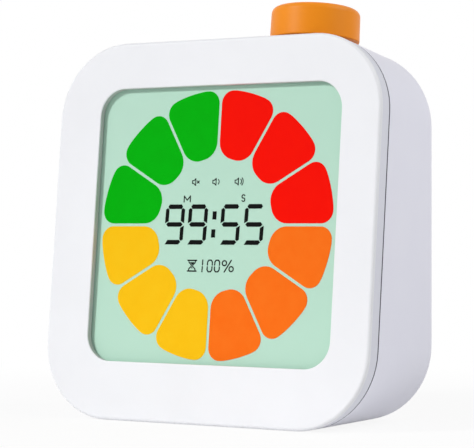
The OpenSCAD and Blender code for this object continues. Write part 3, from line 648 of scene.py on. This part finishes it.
@dataclass(frozen=True)
class Body:
    """The outer form: a leaning rounded front and an upright rounded back."""

    width: float = 88.0
    height: float = 90.0
    depth: float = 38.0
    lean: float = math.radians(6.0)
    corner: float = 18.0
    front_round: float = 0.8
    rear_round: float = 5.5
    least_round: float = 0.01
    round_steps: int = 10
    taper: float = 0.6
    top_drop: float = 3.0
    wall: float = 2.2
    rim: float = 4.1
    seam: float = 4.6
    seam_depth: float = 0.8
    lip_gap: float = 2.35
    lip_wall: float = 1.0
    lip_reach: float = 2.5

    @property
    def foot(self) -> float:
        """How far the front outline starts above the foot of the face."""
        return self.front_round * math.tan(self.lean)

    @property
    def front_y(self) -> float:
        """Y of the face's foot."""
        s, c = math.sin(self.lean), math.cos(self.lean)
        return -(self.depth + self.front_round * (s + c - 1) + self.foot * s) / 2

    @property
    def rear_y(self) -> float:
        """Y of the back."""
        return self.front_y + self.depth

    @property
    def rear_height(self) -> float:
        """Height of the rear outline."""
        return self.height * math.cos(self.lean) - self.top_drop

    @property
    def out(self) -> Vector:
        """The direction out of the face."""
        return Vector((0, -math.cos(self.lean), math.sin(self.lean)))

    def at_face(self, x: float = 0.0, t: float = 0.0, q: float = 0.0) -> Matrix:
        """A place at X, T up along the face and Q behind it, with local Z out of the face."""
        return (Matrix.Translation((0, self.front_y, 0))
                @ Matrix.Rotation(QUARTER - self.lean, 4, "X") @ Matrix.Translation((x, t, -q)))

    def at_top(self, x: float, t: float, q: float) -> Matrix:
        """The same place with local Z up along the face."""
        return self.at_face(x, t, q) @ Matrix.Rotation(-QUARTER, 4, "X")

    def at_rear(self, x: float, z: float, d: float = 0.0) -> Matrix:
        """A place at depth D in the back, with local Z out of it and local Y down."""
        return Matrix.Translation((x, self.rear_y - d, z)) @ Matrix.Rotation(-QUARTER, 4, "X")

    def behind(self, p: Vector) -> float:
        """How far a point lies behind the face."""
        return -(p - Vector((0, self.front_y, 0))).dot(self.out)

    def form(self, name: str, inset: float = 0.0) -> Obj:
        """The whole outer form, or one drawn in by a wall, as a closed solid.

        Args:
            name: The object's name.
            inset: How far it is drawn in.

        Returns:
            The solid.
        """
        round_front = max(self.front_round - inset, self.least_round)
        round_rear = max(self.rear_round - inset, self.least_round)
        front = plate(name, self.width - 2 * inset, self.foot + inset, self.height - inset,
                      self.corner - inset, -round_front)
        rear = plate("rear", self.width - 2 * (self.taper + inset), inset - self.rear_height,
                     -inset, self.corner - inset, -self.rear_round)
        for obj, radius, place in ((front, round_front, self.at_face()),
                                   (rear, round_rear, self.at_rear(0, 0))):
            with editing(obj):
                pick_all()
                if radius > self.least_round:
                    round_over(radius, self.round_steps)
            put(obj, place)
        solid = join(front, rear)
        with editing(solid):
            bridge_open(solid)
        face_outwards(solid)
        return solid

    def cut(self, solid: Obj, q: float, keep_front: bool) -> None:
        """Cuts a solid along a plane behind the face, and closes the cut.

        Args:
            solid: The mesh.
            q: The plane's depth behind the face.
            keep_front: True to keep what is in front of it.
        """
        with editing(solid):
            pick_all()
            bpy.ops.mesh.bisect(plane_co=self.at_face(q=q).translation, plane_no=self.out,
                                use_fill=True, clear_inner=keep_front, clear_outer=not keep_front)


@dataclass
class Bezel(Piece):
    """The front plate with its window, its rim and the lip that enters the shell.

    Each post is its height, the depth of its end, its radius and the radius of the pin beyond it.
    The bands say how near the outline a point counts as on the rim.
    """

    body: Body
    tag: Tag = Tag("bezel_plate", "housing", "bezel_white", ("front_bezel",))
    window_x: float = 1.0
    window_t: float = 46.4
    window_w: float = 66.0
    window_h: float = 65.0
    window_r: float = 6.5
    edge: float = 0.25
    face_wall: float = 1.5
    seam_edge: float = 0.12
    post_x: float = 38.5
    posts: tuple[Quad, ...] = (
        (24.0, 9.0, 2.3, 1.35), (68.0, 9.0, 2.3, 1.35),
        (37.4, 5.6, 1.9, 1.0), (55.4, 5.6, 1.9, 1.0))
    post_edge: float = 0.15
    post_root: float = 0.3
    pin_short: float = 1.0
    side_band: float = 1.2
    top_band: float = 2.0
    corner_band: float = 1.6

    def window(self) -> Obj:
        """The window's wall, open at both ends, with a softened front edge.

        Returns:
            The open ring.
        """
        low, high = (self.window_t + side * self.window_h / 2 for side in SIDES)
        e = self.edge
        ring = plate("window", self.window_w + 2 * e, low - e, high + e, self.window_r + e)
        with editing(ring):
            pick_all()
            round_over(e, 4, sink=True)
            pull((0, 0, e - self.face_wall))
            bpy.ops.mesh.delete(type="ONLY_FACE")
        return put(ring, self.body.at_face(self.window_x))

    def build(self) -> Obj:
        """Makes the bezel.

        Returns:
            The mesh, in millimetres.
        """
        body = self.body
        solid = body.form("bezel_plate")
        body.cut(solid, body.rim, keep_front=True)
        with editing(solid):
            pick_faces(solid, lambda c, n: n.dot(body.out) < -FLAT)
            bpy.ops.mesh.inset(thickness=body.lip_gap, depth=0)
            pull(-body.out * body.lip_reach)
            bpy.ops.mesh.inset(thickness=body.lip_wall, depth=0)
            pull(body.out * (body.rim + body.lip_reach - self.face_wall))
            bpy.ops.mesh.delete(type="ONLY_FACE")
            pick_faces(solid, lambda c, n: n.dot(body.out) > FLAT and body.behind(c) < NEAR)
            bpy.ops.mesh.delete(type="ONLY_FACE")
        join(solid, self.window())
        for q in (0.0, self.face_wall):
            with editing(solid):
                bridge_open(solid, lambda a, b: all(abs(body.behind(p) - q) < NEAR for p in (a, b)))
        face_outwards(solid)
        soften(solid, self.seam_edge, 3, lambda a, b: all(
            abs(body.behind(p) - body.rim) < NEAR and self.on_rim(p) for p in (a, b)))
        e = self.post_edge
        for side in SIDES:
            for t, end, radius, pin in self.posts:
                length = end - self.face_wall
                post = lathe("post", [(pin, self.pin_short - length), (pin, 0), (radius - e, 0),
                                      (radius, e), (radius, length + self.post_root)])
                combine(solid, put(post, body.at_face(side * self.post_x, t, end)), Join.ADD)
        return solid

    def touches(self) -> list[tuple[str, Test]]:
        """The painted shade of the seam, of the bezel's side and of the window's wall.

        Returns:
            Each finish's slot and its test.
        """
        body, out = self.body, self.body.out
        # painted shade: the bezel's back face in the seam, grey as the shadow in the gap
        return [("seam_painted_shade", lambda c, n: (
                    abs(body.behind(c) - body.rim) < NEAR and n.dot(out) < -FACING)),
                # painted shade on the bezel's side band
                ("side_painted_shade", lambda c, n: (
                    body.front_round < body.behind(c) < body.rim and self.on_rim(c))),
                # painted shade on the window's wall
                ("wall_painted_shade", lambda c, n: (
                    self.edge < body.behind(c) < self.face_wall
                    and abs(n.dot(out)) < ALONG and not self.on_rim(c)))]

    def on_rim(self, p: Vector) -> bool:
        """True for a point on the bezel's outside.

        Args:
            p: The point.

        Returns:
            Whether it lies on the outer outline.
        """
        body, r = self.body, self.body.corner
        t = p.z / math.cos(body.lean) + body.rim * math.tan(body.lean)
        dx = abs(p.x) - (body.width / 2 - r)
        dt = max(r - t, t - (body.height - r))
        in_corner = dx > 0 and dt > 0 and math.hypot(dx, dt) > r - self.corner_band
        return (abs(p.x) > body.width / 2 - self.side_band or t < self.side_band
                or t > body.height - self.top_band or in_corner)


@dataclass
class RearShell(Piece):
    """The tub behind the bezel: cell bay, grille, switch pocket and screw holes.

    Pairs of radii are the thin and the wide part of a stepped tube or bore.
    """

    body: Body
    tag: Tag = Tag("shell_tub", "housing", "shell_white", ("rear_shell",))
    edge: float = 0.12
    # how far in front of the seam the painted shade starts
    shade: float = 0.05
    bay: Triple = (50.1, 21.5, 22.0)
    bay_depth: float = 13.1
    bay_wall: float = 2.0
    bay_floor: float = 1.2
    bay_corner: float = 0.6
    block_corner: float = 1.0
    block_sunk: float = 1.1
    door: Triple = (52.1, 23.5, 2.0)
    door_gap: float = 0.25
    door_seat: float = 2.15
    door_corner: float = 2.0
    pivot_x: float = 26.9
    pivot_z: float = 11.25
    pivot_r: float = 0.65
    pivot_reach: float = 0.9
    scoop_r: float = 8.0
    scoop_depth: float = 1.0
    post_x: float = 38.5
    post_ts: Pair = (24.0, 68.0)
    post_q: float = 9.05
    seat_q: float = 16.0
    seat_floor: float = 1.2
    tube_r: Pair = (2.3, 3.3)
    tube_end: float = 40.0
    bore_r: Pair = (1.45, 2.45)
    bore_end: float = 44.0
    knob: Pair = (18.1, 14.0)
    bush_hole: Triple = (3.85, 8.0, 0.3)
    encoder_t: float = 79.713
    stud_r: Pair = (1.0, 1.9)
    boss_x: float = 9.6
    boss: Pair = (4.0, 9.5)
    root: float = 1.9
    stud_x: float = 8.8
    stud: Pair = (3.0, 5.5)
    speaker: Triple = (15.0, 56.0, 11.65)
    ring_wall: float = 1.4
    ring_end: float = 4.6
    switch: Pair = (-19.0, 57.0)
    pocket: Quad = (13.0, 6.6, 1.65, 1.1)
    gate: Pair = (8.3, 3.3)
    gate_corner: float = 0.2
    gate_depth: float = 3.0
    grille_pitch: float = 3.0
    grille_hole: Triple = (0.8, 3.0, 0.15)
    sink: Quad = (15.5, 15.0, 23.0, 0.1)
    sink_corner: float = 0.3

    def at_posts(self) -> list[Matrix]:
        """The places of the four screws on the face."""
        return [self.body.at_face(side * self.post_x, t) for side in SIDES for t in self.post_ts]

    def tub(self) -> Obj:
        """The tub's outside with its shoulder and tongue at the seam, hollowed out.

        Returns:
            The tub.
        """
        body = self.body
        solid = body.form("shell_tub")
        body.cut(solid, body.seam, keep_front=False)
        with editing(solid):
            pick_faces(solid, lambda c, n: n.dot(body.out) > FLAT)
            round_over(self.edge, 3)
        with editing(solid):
            pick_faces(solid, lambda c, n: n.dot(body.out) > FLAT)
            bpy.ops.mesh.inset(thickness=body.seam_depth - self.edge, depth=0)
            pull(body.out * (body.seam - body.rim - self.edge))
        face_outwards(solid)
        combine(solid, body.form("hollow", body.wall), Join.CUT)
        return solid

    def mounts(self) -> Obj:
        """The screw tubes, trimmed to the outer form.

        Returns:
            The four tubes.
        """
        (thin, wide), step = self.tube_r, self.seat_floor - self.seat_q
        tube = [(thin, -self.post_q), (thin, step), (wide, step), (wide, -self.tube_end)]
        solid = join(*[put(lathe("tube", tube), place) for place in self.at_posts()])
        combine(solid, self.body.form("trim", self.body.seam_depth), Join.TRIM)
        return solid

    def outline(self, grow: float, z: float) -> Obj:
        """The door's outline on the back, square at the hinge and round at the top.

        Args:
            grow: How far it stands out from the door.
            z: Its height out of the back.

        Returns:
            The outline.
        """
        width, height, thick = self.door
        low = self.pivot_z - thick / 2 - grow
        high = self.bay[2] + height / 2 + grow
        return plate("door", width + 2 * grow, -high, -low, self.door_corner + grow, z, 8,
                     square_top=True)

    def scoop(self) -> Obj:
        """The ball that hollows the door's upper edge and the shell above it for a finger.

        Returns:
            The ball.
        """
        drop_selection()
        bpy.ops.mesh.primitive_uv_sphere_add(segments=64, ring_count=32, radius=self.scoop_r)
        return put(bpy.context.object, self.body.at_rear(0, self.bay[2] + self.door[1] / 2,
                                                         self.scoop_depth - self.scoop_r))

    def grille(self) -> Obj:
        """The drills for the grille: one in the middle and three rings about it.

        Returns:
            The drills.
        """
        drills = [put(hole(*self.grille_hole, 16), self.body.at_rear(*self.speaker[:2]))]
        for ring in (1, 2, 3):
            step, count = self.grille_pitch * ring, 6 * ring
            for i in range(count):
                angle = 2 * math.pi * i / count
                take(drills[0])
                bpy.ops.object.duplicate(linked=False)
                drills.append(put(bpy.context.object, Matrix.Translation(
                    (step * math.cos(angle), 0, -step * math.sin(angle)))))
        return join(*drills)

    def sinks(self) -> Obj:
        """The blocks for the two shallow fields sunk into the underside.

        Returns:
            Both blocks.
        """
        x, width, length, depth = self.sink
        field = (width, length), self.sink_corner, -PROUD, depth, 3
        return join(*[put(block("sink", *field), Matrix.Translation((side * x, 0, 0)))
                      for side in SIDES])

    def cuts(self) -> list[Obj]:
        """The tools for what is cut from the outside.

        Returns:
            The tools, which may overlap each other.
        """
        body = self.body
        door = flared(self.outline(self.door_gap, -self.door_seat), self.door_seat)
        width, height, z = self.bay
        bay = block("bay", (width, height), self.bay_corner, -self.bay_depth, PROUD, 3)
        pin = [(self.pivot_r, -self.pivot_reach), (self.pivot_r, self.pivot_reach)]
        hinge_y = body.rear_y - self.door[2] / 2
        pins = [put(lathe("pin", pin, 16), across(side * self.pivot_x, hinge_y, self.pivot_z))
                for side in SIDES]
        thin, wide = self.bore_r
        bore = [(thin, PROUD - self.post_q), (thin, -self.seat_q), (wide, -self.seat_q),
                (wide, -self.bore_end)]
        bores = [put(lathe("bore", bore), place) for place in self.at_posts()]
        w, h, r, depth = self.pocket
        pocket = flared(plate("pocket", w, -h / 2, h / 2, r, -depth, 6), depth)
        gate = block("gate", self.gate, self.gate_corner, -self.gate_depth, PROUD, 2)
        x, q = self.knob
        return [put(door, body.at_rear(0, 0)), put(bay, body.at_rear(0, z)), join(*pins),
                self.scoop(), join(*bores), self.grille(), put(pocket, body.at_rear(*self.switch)),
                put(gate, body.at_rear(*self.switch)),
                put(hole(*self.bush_hole, 48), body.at_top(x, self.top_at(q), q)), self.sinks()]

    def top_at(self, q: float) -> float:
        """Height of the top surface along the face, at a depth behind it.

        Args:
            q: The depth.

        Returns:
            The height.
        """
        body = self.body
        run = body.depth - body.rear_round
        end_t = run * math.sin(body.lean) + body.rear_height * math.cos(body.lean)
        end_q = run * math.cos(body.lean) - body.rear_height * math.sin(body.lean)
        fall = (body.height - end_t) / (end_q - body.front_round)
        return body.height - (q - body.front_round) * fall

    def build(self) -> Obj:
        """Makes the shell.

        Returns:
            The mesh, in millimetres.
        """
        body = self.body
        solid = self.tub()
        width, height, z = self.bay
        grow = 2 * self.bay_wall
        box = block("block", (width + grow, height + grow), self.block_corner,
                    -self.bay_depth - self.bay_floor, -self.block_sunk, 3)
        x, speaker_z, r = self.speaker
        outer, root, end = r + self.ring_wall, -self.root, -self.ring_end
        ring = lathe("seat", [(outer, end), (outer, root), (r, root), (r, end)], 64)
        with editing(ring):
            pick_faces(ring, lambda c, n: abs(c.x) < NEAR and abs(c.y) < NEAR)
            bpy.ops.mesh.delete(type="ONLY_FACE")
            bridge_open(ring)
        face_outwards(ring)
        added = [self.mounts(), put(box, body.at_rear(0, z)), put(ring, body.at_rear(x, speaker_z))]
        (bore, post), (x, q), (switch_x, switch_z) = self.stud_r, self.knob, self.switch
        for side in SIDES:
            depth, length = self.boss
            boss = lathe("boss", [(bore, depth), (bore, 0), (post, 0), (post, length)])
            added.append(put(boss, body.at_top(x + side * self.boss_x, self.encoder_t, q)))
            depth, length = self.stud
            stud = lathe("stud", [(bore, -depth), (bore, -length), (post, -length), (post, root)])
            added.append(put(stud, body.at_rear(switch_x + side * self.stud_x, switch_z)))
        for tool in added:
            combine(solid, tool, Join.ADD)
        for tool in self.cuts():
            combine(solid, tool, Join.CUT)
        return solid

    def touches(self) -> list[tuple[str, Test]]:
        """The shoulder and the tongue in the seam, painted grey as the shade in the gap between the
        parts.
        """
        body = self.body
        return [("seam_painted_shade", lambda c, n: body.behind(c) < body.seam + NEAR and (
            n.dot(body.out) > FACING or body.behind(c) < body.seam - self.shade))]


@dataclass
class Door(Piece):
    """The battery door: a thin plate with a finger hollow, on two pins."""

    shell: RearShell
    tag: Tag = Tag("door_plate", "door", "door_white", ("battery_door",))
    edge: float = 0.3
    pin_r: float = 0.6
    pin_out: float = 1.45
    pin_edge: float = 0.15
    hinge_flat: float = 0.05

    def build(self) -> Obj:
        """Makes the door.

        Returns:
            The mesh, in millimetres.
        """
        shell, body = self.shell, self.shell.body
        width, _, thick = shell.door
        door = shell.outline(0.0, -thick)
        with editing(door):
            pick_all()
            pull((0, 0, thick - self.edge))
            pick_top(door, -self.edge)
            round_over(self.edge, 3)
        face_outwards(door)
        put(door, body.at_rear(0, 0))
        low, inside = shell.pivot_z - thick / 2, body.rear_y - thick
        soften(door, thick / 2 - self.hinge_flat, 8, lambda a, b: all(
            abs(p.z - low) < NEAR and p.y < inside + NEAR for p in (a, b)))
        combine(door, shell.scoop(), Join.CUT)
        r, e, reach = self.pin_r, self.pin_edge, width / 2 + self.pin_out
        pin = lathe("pin", [(r - e, -reach), (r, e - reach), (r, reach - e), (r - e, reach)], 24)
        place = across(0, body.rear_y - thick / 2, shell.pivot_z)
        combine(door, put(pin, place), Join.ADD)
        return door


@dataclass
class Knob(Piece):
    """The turned knob with a soft top edge, a hollow skirt and a hub."""

    shell: RearShell
    tag: Tag = Tag("knob_cap", "knob", "knob_orange", ("knob",))
    radius: float = 10.5
    top_radius: float = 10.4
    height: float = 7.6
    round_r: float = 1.6
    rim: float = 0.3
    skirt: float = 1.8
    top_wall: float = 1.5
    hub: float = 5.0
    bore: float = 3.02
    bore_sunk: float = 0.3
    gap: float = 0.9
    encoder_h: float = 7.0
    bush_h: float = 4.6
    hub_gap: float = 0.7

    @property
    def base_t(self) -> float:
        """Height of the knob's base along the face."""
        return self.shell.top_at(self.shell.knob[1] - self.radius) + self.gap

    def build(self) -> Obj:
        """Makes the knob.

        Returns:
            The mesh, in millimetres.
        """
        inner = self.top_radius - self.skirt
        roof = self.height - self.top_wall
        bush_t = self.shell.encoder_t + self.encoder_h + self.bush_h
        hub_low = bush_t + self.hub_gap - self.base_t
        shoulder = self.height - self.round_r
        waist = self.radius - (self.radius - self.top_radius) / 3
        profile = [(self.bore, roof - self.bore_sunk), (self.bore, hub_low), (self.hub, hub_low),
                   (self.hub, roof), (inner, roof), (inner, 0.0),
                   *arc(self.rim, 4, (self.radius - self.rim, self.rim), -90, 0),
                   (waist, shoulder / 3),
                   *arc(self.round_r, 12, (self.top_radius - self.round_r, shoulder), 0, 90)]
        x, q = self.shell.knob
        return put(lathe("knob_cap", profile, 128), self.shell.body.at_top(x, self.base_t, q))


@dataclass
class Cells(Piece):
    """The two AAA cells, each a sleeved can with a crimped rim and a nub.

    The flat end is given in from the can's side and up from the end, and the shoulder in from
    the side and down from the top. The nub's foot is out from the nub and down from the top.
    """

    shell: RearShell
    tag: Tag = Tag("cell_pair", "housing", "cell_wrap", ("aaa_cells",))
    radius: float = 5.15
    length: float = 44.4
    nub_r: float = 1.9
    nub_h: float = 1.1
    nub_edge: float = 0.3
    flat_end: Profile = ((1.6, 0.0), (1.4, 0.25), (0.9, 0.25), (0.7, 0.0), (0.3, 0.0),
                         (0.05, 0.15), (0.0, 0.4))
    shoulder: Profile = ((0.0, 0.7), (0.1, 0.25), (0.45, 0.0), (0.9, 0.0), (1.1, 0.3))
    nub_foot: Profile = ((0.7, 0.3), (0.5, 0.0), (0.0, 0.0))
    sleeve: float = 0.5
    gap: float = 0.3
    plate: float = 0.4
    fit: float = 0.15

    @property
    def axis_y(self) -> float:
        """Y of both axes."""
        return self.shell.body.rear_y - (self.shell.body.wall + self.gap + self.radius)

    @property
    def rise(self) -> float:
        """How far each axis lies above or below the bay's middle."""
        return self.radius + self.gap / 2

    def cell(self) -> Obj:
        """One cell along Z, flat end first.

        Returns:
            The cell.
        """
        r, nub, e, top = self.radius, self.nub_r, self.nub_edge, self.length - self.nub_h
        return lathe("cell", [*((r - a, z) for a, z in self.flat_end),
                              *((r - a, top - z) for a, z in self.shoulder),
                              *((nub + a, top - z) for a, z in self.nub_foot),
                              (nub, self.length - e), (nub - e, self.length)], 48)

    def build(self) -> Obj:
        """Makes both cells, head to tail.

        Returns:
            The mesh, in millimetres.
        """
        x, y, z = self.shell.bay[0] / 2 - self.plate - self.fit, self.axis_y, self.shell.bay[2]
        start = Matrix.Translation((0, 0, -self.length))
        return join(*[put(self.cell(), across(side * x, y, z + side * self.rise, side) @ start)
                      for side in SIDES])

    def touches(self) -> list[tuple[str, Test]]:
        """The finish of the bare ends.

        Returns:
            The finish's slot and its test.
        """
        def bare(c: Vector, n: Vector) -> bool:
            """True for a face at an end, or nearer to its cell's axis than the sleeve."""
            z = c.z - self.shell.bay[2] - math.copysign(self.rise, c.z - self.shell.bay[2])
            return (abs(n.x) > ENDWAYS
                    or math.hypot(c.y - self.axis_y, z) < self.radius - self.sleeve)

        return [("can_silver", bare)]


# ---- studio ----


@dataclass(frozen=True)
class Softbox:
    """A soft square lamp near the object, with its beam aimed past it where it is feathered.

    The bearing is in degrees from straight in front, positive to the object's +X side. The feather
    is how far to the right and below the target the beam's middle passes, in metres.
    """

    name: str
    bearing: float
    rise: float
    distance: float
    size: float
    power: float
    spread: float = 180.0
    feather: Pair = (0.0, 0.0)

    def hang(self, target: Vector) -> None:
        """Puts the lamp up.

        Args:
            target: What it looks at.
        """
        turn, rise = math.radians(self.bearing), math.radians(self.rise)
        away = Vector((math.sin(turn) * math.cos(rise), -math.cos(turn) * math.cos(rise),
                       math.sin(rise)))
        data = bpy.data.lights.new(self.name, "AREA")
        data.shape = "SQUARE"
        data.size = self.size
        data.energy = self.power
        data.spread = math.radians(self.spread)
        lamp = bpy.data.objects.new(self.name, data)
        lamp.location = target + away * self.distance
        beam = target + Vector((self.feather[0], 0, -self.feather[1])) - lamp.location
        lamp.rotation_euler = beam.to_track_quat("-Z", "Y").to_euler()
        bpy.context.scene.collection.objects.link(lamp)


@dataclass
class Studio:
    """A pale floor, soft lamps, an even surround and the camera, in metres.

    The floor keeps the object's shadow near it, and turns white over the two fade distances.
    """

    lamps: tuple[Softbox, ...] = (
        Softbox("key", -30.0, 29.0, 2.0, 0.3, 1.88, 40.0, (0.14, 0.5)),
        Softbox("rim", 105.0, 40.0, 0.45, 0.25, 0.68),
    )
    middle: float = 0.045
    surround: float = 0.3
    floor_size: float = 12.0
    floor_z: float = -0.00005
    floor_glow: float = 0.9
    floor_albedo: float = 0.9
    fade: Pair = (0.05, 0.2)
    eye: Triple = (0.252101, -0.408235, 0.046163)
    turn: float = 31.755
    focal: float = 153.72
    sensor: float = 36.0
    far: float = 50.0

    def seen(self, tree: Tree) -> Socket:
        """One for rays that carry the background to the eye, straight or by gloss or glass.

        Args:
            tree: A node tree.

        Returns:
            The value.
        """
        path = add_node(tree, "ShaderNodeLightPath", {})
        total = path.outputs["Is Camera Ray"]
        for name in ("Is Glossy Ray", "Is Transmission Ray"):
            add = add_node(tree, "ShaderNodeMath", {0: total, 1: path.outputs[name]})
            add.operation = "MAXIMUM"
            total = add.outputs[0]
        return total

    def surround_light(self) -> None:
        """Sets an even light all round that looks white."""
        world = bpy.data.worlds.new("surround")
        bpy.context.scene.world = world
        world.use_nodes = True
        tree = world.node_tree
        even = tree.nodes["Background"]
        feed(tree, even, {"Color": WHITE, "Strength": self.surround})
        white = add_node(tree, "ShaderNodeBackground", {"Color": WHITE})
        mix_into(tree, "World Output", self.seen(tree), even, white)

    def floor(self) -> None:
        """Lays the floor, which keeps the object's soft shadow."""
        drop_selection()
        bpy.ops.mesh.primitive_plane_add(size=self.floor_size, location=(0, 0, self.floor_z))
        floor = bpy.context.object
        floor.name = "floor"
        material = bpy.data.materials.new("floor")
        material.use_nodes = True
        tree = material.node_tree
        matt = tree.nodes["Principled BSDF"]
        feed(tree, matt, {"Base Color": (*[self.floor_albedo] * 3, 1), "Roughness": 1.0,
                          "Specular IOR Level": 0.0})
        glow = add_node(tree, "ShaderNodeEmission", {"Strength": 1.0})
        place = add_node(tree, "ShaderNodeTexCoord", {}).outputs["Object"]
        away = add_node(tree, "ShaderNodeVectorMath", {0: place})
        away.operation = "LENGTH"
        reach = add_node(tree, "ShaderNodeMapRange", {
            "Value": away.outputs["Value"], "From Min": self.fade[0], "From Max": self.fade[1],
            "To Min": self.floor_glow, "To Max": 1.0})
        reach.interpolation_type = "SMOOTHSTEP"
        share = add_node(tree, "ShaderNodeMath", {0: self.seen(tree), 1: reach.outputs["Result"]})
        share.operation = "MULTIPLY"
        mix_into(tree, "Material Output", share.outputs[0], matt, glow)
        floor.data.materials.append(material)

    def camera(self) -> None:
        """Sets the camera up, level with the middle of the object."""
        data = bpy.data.cameras.new("camera")
        data.sensor_width = self.sensor
        data.lens = self.focal
        data.clip_end = self.far
        camera = bpy.data.objects.new("camera", data)
        camera.location = self.eye
        camera.rotation_euler = (QUARTER, 0, math.radians(self.turn))
        bpy.context.scene.collection.objects.link(camera)
        bpy.context.scene.camera = camera

    def build(self) -> None:
        """Sets up the whole studio."""
        bpy.context.scene.view_settings.view_transform = "Standard"
        self.camera()
        self.surround_light()
        self.floor()
        for lamp in self.lamps:
            lamp.hang(Vector((0, 0, self.middle)))


def main() -> None:
    """Builds the timer's looks in order."""
    logging.basicConfig(level=logging.INFO, format="%(message)s")
    finishes = Finishes(FINISHES)
    for part in frame["record"]["subparts"]:
        finishes.dress(frame["nodes"][part["node"]], part["material_slot"])
    body = Body()
    shell = RearShell(body)
    for piece in (Bezel(body), shell, Door(shell), Knob(shell), Cells(shell)):
        piece.make(finishes)
    Studio().build()


if __name__ == "__main__":
    main()
